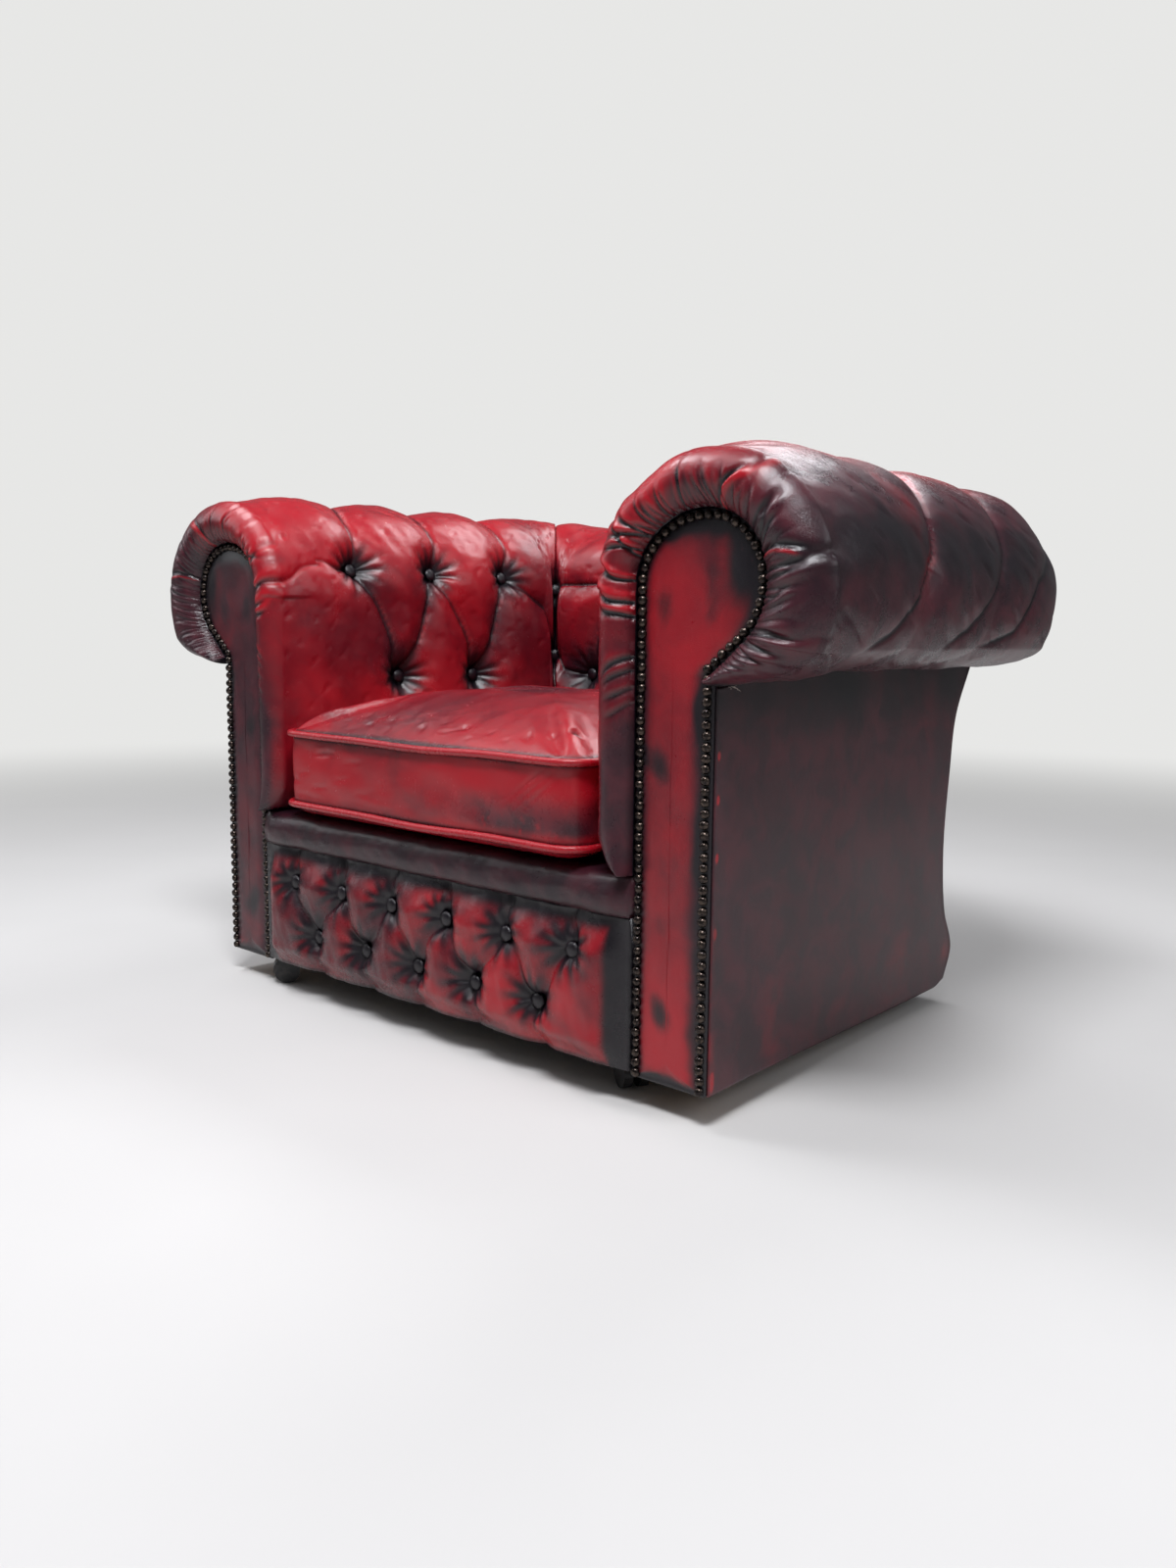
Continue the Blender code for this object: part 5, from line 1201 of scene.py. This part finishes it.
def shape_cushion(piece):
    """Slack leather over the cushion's top, wrinkles by its edges, how worn each point is, and painted shade
    in its creases, along its seams and towards the back of its top.
    """
    mesh = piece.data
    count = len(mesh.vertices)
    place = np.zeros(count * 3)
    mesh.vertices.foreach_get("co", place)
    place = place.reshape(-1, 3)
    normal = np.zeros(count * 3)
    mesh.vertices.foreach_get("normal", normal)
    normal = normal.reshape(-1, 3)
    x, y, z = place.T
    above = ease((z - SEAM_HIGH - 0.006) / 0.020)
    band = ease((z - SEAM_LOW - 0.008) / 0.012) * ease((SEAM_HIGH - 0.008 - z) / 0.012)
    soft = wobble(x, y, 5.0, 51) * 0.0020 + wobble(x, y, 16.0, 52) * 0.0008
    rim = np.minimum(np.minimum(CUSHION_HALF_REAR - np.abs(x), y - CUSHION_FRONT), CUSHION_REAR - y)
    near_rim = np.exp(-((rim - 0.03) / 0.028) ** 2)
    crease = np.maximum(wobble(x + y * 0.3, y - x * 0.2, 24.0, 53), 0.35) - 0.35
    along = np.where(np.abs(normal[:, 0]) > np.abs(normal[:, 1]), y, x)
    left_part = np.exp(-(((x + 0.17) / 0.10) ** 2))
    ripple = np.maximum(wobble(along * 0.35, z * 1.6, 30.0, 54), 0.25) - 0.25
    corner_off = (x - 0.205) * 0.8 + (z - 0.340) * 0.6
    corner_line = (z - 0.335) * 0.8 - (x - 0.205) * 0.6
    tucks = np.exp(-((corner_off / 0.040) ** 2)) * (
        np.exp(-(((corner_line - 0.006) / 0.0022) ** 2))
        + 0.8 * np.exp(-(((corner_line + 0.004) / 0.0020) ** 2))
        + 0.6 * np.exp(-(((corner_line + 0.014) / 0.0025) ** 2))
    )
    in_front = ease((CUSHION_FRONT + 0.060 - y) / 0.02)
    shift = above * (soft - crease * near_rim * 0.0042) + band * (
        wobble(along, z, 14.0, 55) * 0.0012 - ripple * left_part * 0.0030 - tucks * in_front * 0.0016
    )
    place += normal * shift[:, None]
    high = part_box("seat_cushion")[1]
    place[:, 2] = np.clip(place[:, 2], PAD_BOTTOM + 0.0003, high.z + 0.006)
    mesh.vertices.foreach_set("co", place.ravel())
    # Painted shade in the creases and tucks, along the piped seams and towards the back of the top
    hollow = above * crease * near_rim * 0.5 + band * (ripple * left_part * 0.5 + tucks * in_front * 0.25)
    seam = np.minimum(np.abs(z - SEAM_LOW), np.abs(z - SEAM_HIGH))
    hollow = np.maximum(hollow, (1.0 - ease(seam / 0.012)) * 0.85)
    hollow = np.maximum(hollow, above * ease((y - CUSHION_REAR + 0.10) / 0.10) * 0.55)
    right_low = ease((x + 0.10) / 0.26) * ease((SEAM_HIGH - 0.012 - z) / 0.055) * ease((z - SEAM_LOW) / 0.02)
    rubbed = 0.20 + above * 0.10 + 0.20 * np.exp(-((rim / 0.05) ** 2)) + 0.20 * band * (1.0 - right_low)
    scuffs = np.maximum(wobble(x * 1.4 + z, z - x * 0.3, 46.0, 57), 0.55) - 0.55
    low_right = np.exp(-(((x - 0.175) / 0.06) ** 2)) * ease((0.305 - z) / 0.02) * band
    rubbed = rubbed + scuffs * low_right * 4.0
    haze = np.clip(wobble(x, y, 4.5, 56) + 0.2, 0.0, 1.0)
    aged = 0.10 + 0.62 * right_low + band * 0.10 + above * 0.42 * haze
    for key, values in (("hollow", hollow), ("rubbed", rubbed), ("aged", aged)):
        mark = mesh.attributes.new(key, "FLOAT", "POINT")
        mark.data.foreach_set("value", np.clip(values, 0.0, 1.0).astype(np.float32))


PANEL_UPPER, PANEL_LOWER, PANEL_PITCH = 0.1580, 0.0900, 0.1025
PANEL_SINK, PANEL_FOLD_WIDTH = 0.019, 0.038


def front_buttons():
    upper = [(PANEL_PITCH * (step - 2.5), PANEL_UPPER) for step in range(6)]
    lower = [(PANEL_PITCH * (step - 2), PANEL_LOWER) for step in range(5)]
    return upper, lower


def tufted_front():
    """Tufted panel over the front rail."""
    low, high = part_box("front_rail_panel")
    half = high.x
    bottom, top = low.z, high.z
    upper, lower = front_buttons()
    folds = []
    for spot in upper:
        folds.append(fold(spot, (spot[0], top), PANEL_SINK, 0.004, 0.006, PANEL_FOLD_WIDTH))
        for other in lower:
            if abs(spot[0] - other[0]) < PANEL_PITCH:
                folds.append(fold(spot, other, PANEL_SINK, PANEL_SINK, 0.008, PANEL_FOLD_WIDTH))
    for spot in lower:
        folds.append(fold(spot, (spot[0], bottom), PANEL_SINK, 0.004, 0.006, PANEL_FOLD_WIDTH))
    xs = np.linspace(-half, half, 290)
    zs = np.linspace(bottom, top, 92)
    a, b = np.meshgrid(xs, zs, indexing="ij")
    broad, narrow = sink_at(a, b, folds)
    stars = gathers(a, b, upper + lower, 9, 0.014, 0.0010, 61)
    side_fade = ease((half - np.abs(a)) / 0.045)
    swell_by_edge = side_fade * (ease((b - bottom) / 0.030) * ease((top - b) / 0.048) * 0.80 + 0.20)
    soft = wobble(a, b, 14.0, 62) * 0.0010 + wobble(a, b, 40.0, 63) * 0.0005
    y = FACING_Y - 0.004 - 0.021 * swell_by_edge
    y = y + (broad * 1.05 + narrow * 0.0024 + stars + soft) * np.maximum(side_fade, 0.35)
    rear = np.full((len(xs), 1), FACING_Y + 0.0215)
    ring_y = np.concatenate([y, rear, rear], 1)
    ring_x = np.concatenate([a, xs[:, None], xs[:, None]], 1)
    ring_z = np.concatenate([b, np.full_like(rear, top), np.full_like(rear, bottom)], 1)
    points = np.stack([ring_x, ring_y, ring_z], 2)
    # Painted shade round each button, set a little above and to the left of it
    painted_shade_centres = [(x - 0.005, z + 0.003) for x, z in upper + lower]
    shade = button_shade(a, b, painted_shade_centres, 0.042, 64)
    hollow = np.maximum(shade, narrow * 0.30)
    hollow = np.maximum(hollow, ease((broad - 0.006) / 0.013) * 0.80)
    edge = np.minimum(b - bottom, half - np.abs(a))
    # Painted shade along the bottom and side edges, a painted shadow under the lip along the top, and
    # painted shade at the sides beside the arms
    hollow = np.maximum(hollow, (1.0 - ease(edge / 0.010)) * 0.6)
    hollow = np.maximum(hollow, ease((b - top + 0.034) / 0.034) * 0.85)
    hollow = np.maximum(hollow, ease((np.abs(a) - half + 0.036) / 0.016) * 0.75)
    island = np.clip(wobble(a, b, 9.0, 66), 0.0, 1.0)
    aged = np.clip(shade * 0.7 + ease((broad - 0.003) / 0.010) * 0.45 + 0.20 - island * 0.25, 0.0, 1.0)
    rubbed = 0.12 + 0.28 * island + 0.16 * ease((a + 0.05) / 0.25)
    one = np.ones((len(xs), 2))
    piece = surface(
        "tufted_front_panel", points.reshape(-1, 3), ring_faces(len(xs), points.shape[1]), LEATHER,
        {"hollow": np.concatenate([hollow, one], 1).ravel(),
         "rubbed": np.concatenate([rubbed, 0 * one], 1).ravel(),
         "aged": np.concatenate([aged, one], 1).ravel()},
    )
    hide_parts("front_rail_panel")


def front_lip():
    """Plain front edge of the sprung seat, with the deck behind it."""
    low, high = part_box("seat_deck")
    half = high.x
    nose = [
        (FACING_Y + 0.0005, low.z), (low.y + 0.006, low.z), (low.y + 0.001, low.z + 0.006),
        (low.y, low.z + 0.014), (low.y + 0.0004, low.z + 0.022),
        (low.y + 0.002, high.z - 0.016), (low.y + 0.0055, high.z - 0.008),
        (low.y + 0.012, high.z - 0.0025), (low.y + 0.022, high.z), (high.y, high.z), (high.y, low.z),
    ]
    fine = []
    for here, after in zip(nose, nose[1:]):
        length = math.dist(here, after)
        steps = max(1, round(length / 0.004)) if length < 0.1 else 1
        fine += [tuple(mix(p, q, step / steps) for p, q in zip(here, after)) for step in range(steps)]
    fine.append(nose[-1])
    xs = np.linspace(-half, half, 150)
    profile = np.array(fine)
    a = xs[:, None] + 0.0 * profile[None, :, 0]
    y = profile[None, :, 0] + 0.0 * xs[:, None]
    z = profile[None, :, 1] + 0.0 * xs[:, None]
    in_front = ease((FACING_Y - y) / 0.006)
    flat = ease((np.abs(a) - half + 0.022) / 0.022) * 0.55
    y = np.where(y < FACING_Y, mix(y, FACING_Y, flat), y)
    y = y + in_front * (wobble(a, z, 11.0, 71) * 0.0012 + wobble(a, z * 3, 30.0, 72) * 0.0005)
    y = np.maximum(y, low.y - 0.003)
    points = np.stack([a, y, z], 2)
    hollow = np.clip(0.35 + 0.3 * wobble(a, z, 18.0, 73), 0.0, 1.0)
    piece = surface(
        "plain_front_lip", points.reshape(-1, 3), ring_faces(len(xs), points.shape[1]), LEATHER,
        {"hollow": (0.25 + hollow * 0.4).ravel(), "rubbed": (0.12 * (1 - hollow)).ravel(),
         "aged": np.full(hollow.size, 0.9)},
    )
    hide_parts("seat_deck")


def facing_line(grow, bottom=ARM_FRONT_BOTTOM):
    """Keyhole outline of an arm front, finely stepped, as offset and height."""
    places = np.linspace(1.0, 2.0, 73)
    scroll_x, scroll_z = keyhole(places, grow)
    meets_x, meets_z = keyhole(np.array([3.0]), grow)
    x = np.concatenate([[-NECK_INNER - grow], scroll_x, meets_x, [NECK_OUTER + grow]])
    z = np.concatenate([[bottom], scroll_z, meets_z, [bottom]])
    return np.column_stack([x, z])


def arm_facings():
    """Padded leather on the two keyhole arm fronts."""
    for label, side in (("left", -1.0), ("right", 1.0)):
        outline = resample(facing_line(0.0), 460)
        middle_x = (NECK_OUTER - NECK_INNER) / 2
        spine = np.column_stack([
            middle_x * ease((SCROLL_HEIGHT - outline[:, 1]) / 0.070),
            np.clip(outline[:, 1], 0.060, SCROLL_HEIGHT),
        ])
        shares = [0.0, 0.03, 0.07, 0.12, 0.18, 0.25, 0.33, 0.42, 0.52, 0.63, 0.75, 0.87, 0.985]
        rows, hollows, rubs, agings = [], [], [], []
        depth = 0.0065
        rear = np.column_stack([side * (ARM_CENTRE_FRONT + outline[:, 0] - ARM_TAPER * depth),
                                np.full(len(outline), FACING_Y + depth), outline[:, 1]])
        rows.append(rear)
        hollows.append(np.ones(len(outline)))
        rubs.append(np.zeros(len(outline)))
        agings.append(np.ones(len(outline)))
        for share in shares:
            flat = outline + (spine - outline) * share
            inset = np.linalg.norm(flat - outline, axis=1)
            puff = 0.0022 * ease((inset - 0.010) / 0.016)
            puff = puff - 0.0012 * np.exp(-(((inset - NAIL_INSET) / 0.004) ** 2))
            puff = puff - 0.0012 * (1.0 - ease(inset / 0.003))
            offset, height = flat[:, 0], flat[:, 1]
            y = FACING_Y - puff + wobble(offset, height, 12.0, 81) * 0.0006 * ease((inset - 0.01) / 0.01)
            rows.append(np.column_stack([side * (ARM_CENTRE_FRONT + offset), y, height]))
            outer = outline[:, 0] > 0
            reach = np.where(outer & (outline[:, 1] < 0.47), 0.034, 0.024)
            dark = (1.0 - ease(inset / reach)) * 0.78
            patches = np.clip(wobble(offset, height, 13.0, 82) - 0.25, 0.0, 1.0)
            upper_dark = np.exp(-(((offset - 0.045) / 0.022) ** 2 + ((height - 0.565) / 0.05) ** 2))
            upper_dark += 0.8 * np.exp(-(((offset + 0.01) / 0.04) ** 2 + ((height - 0.605) / 0.016) ** 2))
            hollows.append(np.clip(dark + patches * 0.65 + upper_dark * 0.85, 0.0, 1.0))
            far = 0.30 if side < 0 else 0.0
            rubs.append(np.clip(0.30 - far - dark * 0.5 + 0.25 * ease((0.20 - height) / 0.12), 0.0, 1.0))
            agings.append(np.clip(dark * 0.8 + patches * 0.3 + 0.20 + far * 1.3, 0.0, 1.0))
        points = np.concatenate(rows, 0)
        piece = surface(
            f"arm_front_{label}", points, ring_faces(len(rows), len(outline)), LEATHER_FACING,
            {"hollow": np.concatenate(hollows), "rubbed": np.concatenate(rubs),
             "aged": np.concatenate(agings)},
        )
        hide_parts(f"arm_facing_{label}")


def nail_shape():
    """One dome nail, turned round its axis."""
    profile = [
        (0.0052, 0.0), (0.0053, 0.0010), (0.0049, 0.0028), (0.0037, 0.0045), (0.0019, 0.0054), (0.0, 0.0057)
    ]
    sides = 12
    shape_points, shape_faces = [], []
    for radius, rise in profile[:-1]:
        for step in range(sides):
            angle = 2 * math.pi * step / sides
            shape_points.append((radius * math.cos(angle), -rise, radius * math.sin(angle)))
    shape_points.append((0.0, -profile[-1][1], 0.0))
    for row in range(len(profile) - 2):
        for step in range(sides):
            after = (step + 1) % sides
            low = row * sides
            shape_faces.append((low + step, low + after, low + sides + after, low + sides + step))
    last = (len(profile) - 2) * sides
    for step in range(sides):
        shape_faces.append((last + step, last + (step + 1) % sides, len(shape_points) - 1))
    shape_faces.append(tuple(range(sides)))
    return np.array(shape_points), shape_faces


def dome_nails():
    """Touching nails along the nail line of each arm front, each a little tilted and uneven."""
    nail, nail_faces = nail_shape()
    rng = np.random.default_rng(7)
    for label, side in (("left", -1.0), ("right", 1.0)):
        line = facing_line(-NAIL_INSET, ARM_FRONT_BOTTOM + 0.006)
        lengths = np.concatenate([[0.0], np.cumsum(np.linalg.norm(np.diff(line, axis=0), axis=1))])
        count = round(lengths[-1] / NAIL_PITCH)
        at = np.linspace(0.0, lengths[-1], count + 1)
        offsets = np.interp(at, lengths, line[:, 0])
        heights = np.interp(at, lengths, line[:, 1])
        points, faces = [], []
        for offset, height in zip(offsets, heights):
            size = rng.uniform(0.93, 1.04)
            tilt = rng.uniform(-0.12, 0.12, 2)
            jog = rng.uniform(-0.0005, 0.0005, 2)
            copy = nail * size
            copy = np.column_stack([
                copy[:, 0], copy[:, 1] + copy[:, 0] * tilt[0] + copy[:, 2] * tilt[1], copy[:, 2]
            ])
            copy += [side * (ARM_CENTRE_FRONT + offset) + jog[0], FACING_Y + 0.0006, height + jog[1]]
            base = len(points) * len(nail)
            points.append(copy)
            faces += [tuple(base + corner for corner in face) for face in nail_faces]
        piece = surface(f"dome_nails_{label}", np.concatenate(points, 0), faces, BRASS)
        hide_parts(f"nail_row_{label}")


BUTTON_RADIUS = 0.0095
BUTTON_DEPTH, CORNER_BUTTON_DEPTH = 0.0285, 0.0265


def button_shape():
    """One leather-covered button, domed, with its cover gathered under the rim."""
    bpy.ops.object.select_all(action="DESELECT")
    bpy.ops.mesh.primitive_uv_sphere_add(segments=24, ring_count=12, radius=BUTTON_RADIUS)
    ball = bpy.context.object
    points = np.array([tuple(v.co) for v in ball.data.vertices])
    faces = [tuple(p.vertices) for p in ball.data.polygons]
    bpy.data.objects.remove(ball)
    points[:, 2] = np.where(points[:, 2] > 0, points[:, 2] * 0.46, points[:, 2] * 0.55)
    angle = np.arctan2(points[:, 1], points[:, 0])
    under = ease(-points[:, 2] / 0.004)
    points[:, :2] *= (1.0 + 0.05 * np.cos(angle * 12) * under)[:, None]
    return points, faces


BUTTON_POINTS, BUTTON_FACES = button_shape()


def place_buttons(name, spots):
    """Copies of the button at points with outward directions."""
    points, faces, hollow = [], [], []
    for at, out in spots:
        out = Vector(out).normalized()
        turn = np.array(out.to_track_quat("Z", "Y").to_matrix())
        base = len(points) * len(BUTTON_POINTS)
        points.append(BUTTON_POINTS @ turn.T + np.array(at))
        # Painted shade: darker towards the foot of each button, down in its dimple
        hollow.append(np.clip(1.0 - BUTTON_POINTS[:, 2] / 0.016, 0.0, 1.0))
        faces += [tuple(base + corner for corner in face) for face in BUTTON_FACES]
    count = len(points) * len(BUTTON_POINTS)
    piece = surface(
        name, np.concatenate(points, 0), faces, LEATHER,
        {"hollow": np.concatenate(hollow), "rubbed": np.full(count, 0.1), "aged": np.full(count, 0.8)},
    )


def cover_spot(distance, height, side, depth):
    """Where a button sits in the cover, and the way that it faces."""
    place = np.array([place_of_height(height)])
    offset, level = outer_profile(place)
    across, up = cover_normals(place)
    ends = []
    for sink in (depth, depth - 0.01):
        x, y, z = roll_point(np.array([distance]), offset - across * sink, level - up * sink, side)
        ends.append(np.array([float(x[0]), float(y[0]), float(z[0])]))
    return ends[0], ends[1] - ends[0]


def all_buttons():
    upper, lower = arm_buttons()
    for label, side in (("left", -1.0), ("right", 1.0)):
        spots = [cover_spot(distance, height, side, BUTTON_DEPTH) for distance, height in upper + lower]
        place_buttons(f"arm_buttons_{label}", spots)
        corner = [
            cover_spot(MITRE_AT - 0.001, height, side, CORNER_BUTTON_DEPTH)
            for height in (CORNER_UPPER, CORNER_LOWER)
        ]
        place_buttons(f"corner_buttons_{label}", corner)
    upper, lower = back_buttons()
    spots = []
    for distance, height in upper + lower:
        side = 1.0 if distance >= 0 else -1.0
        spots.append(cover_spot(BACK_MIDDLE_AT - abs(distance), height, side, BUTTON_DEPTH))
    place_buttons("back_buttons", spots)
    upper, lower = front_buttons()
    spots = [((x, FACING_Y - 0.0095, z), (0.0, -1.0, 0.0)) for x, z in upper + lower]
    place_buttons("front_panel_buttons", spots)


PHOTO_WIDTH, PHOTO_FOCAL = 1200.0, 1235.0
SENSOR_WIDTH = 36.0


def set_camera():
    camera = bpy.data.objects.new("photo_camera", bpy.data.cameras.new("photo_camera"))
    bpy.context.scene.collection.objects.link(camera)
    camera.data.sensor_fit = "HORIZONTAL"
    camera.data.sensor_width = SENSOR_WIDTH
    camera.data.lens = SENSOR_WIDTH * PHOTO_FOCAL / PHOTO_WIDTH
    camera.data.clip_start = 0.02
    azimuth, pitch, roll = math.radians(41.757), math.radians(7.191), math.radians(0.554)
    back = Vector((
        math.sin(azimuth) * math.cos(pitch), -math.cos(azimuth) * math.cos(pitch), math.sin(pitch)
    ))
    right = Vector((math.cos(azimuth), math.sin(azimuth), 0.0))
    up = right.cross(-back)
    right_rolled = right * math.cos(roll) + up * math.sin(roll)
    up_rolled = up * math.cos(roll) - right * math.sin(roll)
    turn = Matrix((right_rolled, up_rolled, back)).transposed().to_4x4()
    camera.matrix_world = Matrix.Translation((1.1215, FACING_Y - 0.9557, 0.5015)) @ turn
    bpy.context.scene.camera = camera


def soft_box(name, place, aim, size, power):
    lamp = bpy.data.lights.new(name, "AREA")
    lamp.shape = "RECTANGLE"
    lamp.size, lamp.size_y = size
    lamp.energy = power
    lamp.color = (0.95, 0.96, 1.0)
    thing = bpy.data.objects.new(name, lamp)
    bpy.context.scene.collection.objects.link(thing)
    thing.location = place
    thing.rotation_euler = (Vector(aim) - Vector(place)).to_track_quat("-Z", "Y").to_euler()


def studio():
    bpy.ops.object.select_all(action="DESELECT")
    bpy.ops.mesh.primitive_plane_add(size=60.0, location=(0.0, 0.0, 0.0))
    floor = bpy.context.object
    floor.name = "studio_floor"
    paper = Recipe("pale_floor", rough=0.8)
    cloud = paper.noise(3.0, 3.0, 0.5)
    paper.feed("Base Color", paper.blend(cloud, (0.60, 0.59, 0.575), (0.64, 0.63, 0.615)))
    far_tone = paper.node("ShaderNodeEmission", {}, {"Color": (0.80, 0.80, 0.79, 1.0), "Strength": 1.0})[0]
    centre = paper.node("ShaderNodeVectorMath", {"operation": "LENGTH"}, {0: paper.place})[1]
    seen = paper.node("ShaderNodeLightPath", {})[0]
    join = paper.node("ShaderNodeMixShader", {}, {0: centre.step(1.1, 4.2) * seen})[0]
    tree = paper.tree
    tree.links.new(paper.shader.outputs[0], join.socket.node.inputs[1])
    tree.links.new(far_tone.socket, join.socket.node.inputs[2])
    tree.links.new(join.socket, tree.nodes["Material Output"].inputs["Surface"])
    floor.data.materials.append(paper.material)
    soft_box("overhead", (0.75, -1.25, 2.5), (0.1, -0.05, 0.40), (1.0, 0.55), 66.0)
    soft_box("ceiling_left", (-1.1, -0.6, 2.4), (-0.2, 0.0, 0.45), (0.9, 0.5), 26.0)
    soft_box("left_window", (-2.3, -1.3, 1.7), (-0.1, -0.1, 0.40), (1.3, 1.5), 14.0)
    soft_box("right_fill", (2.4, 0.2, 1.6), (0.4, 0.0, 0.30), (1.2, 1.2), 12.0)
    soft_box("over_back", (-0.15, 1.35, 2.35), (0.05, 0.0, 0.50), (1.3, 0.65), 24.0)
    world = bpy.data.worlds.new("studio_world")
    bpy.context.scene.world = world
    world.use_nodes = True
    nodes, links = world.node_tree.nodes, world.node_tree.links
    nodes.clear()
    out = nodes.new("ShaderNodeOutputWorld")
    room = nodes.new("ShaderNodeBackground")
    room.inputs["Color"].default_value = (0.95, 0.96, 1.0, 1.0)
    room.inputs["Strength"].default_value = 0.15
    wall = nodes.new("ShaderNodeBackground")
    wall.inputs["Color"].default_value = (0.80, 0.80, 0.79, 1.0)
    wall.inputs["Strength"].default_value = 1.0
    seen = nodes.new("ShaderNodeLightPath")
    swap = nodes.new("ShaderNodeMixShader")
    links.new(seen.outputs["Is Camera Ray"], swap.inputs[0])
    links.new(room.outputs[0], swap.inputs[1])
    links.new(wall.outputs[0], swap.inputs[2])
    links.new(swap.outputs[0], out.inputs["Surface"])
    bpy.context.scene.view_settings.view_transform = "Standard"


set_camera()
studio()
dress_frame()
arm_covers()
back_cover()
loose_cushion()
tufted_front()
front_lip()
arm_facings()
outside_panels()
outside_back_panel()
torn_seam()
dome_nails()
all_buttons()
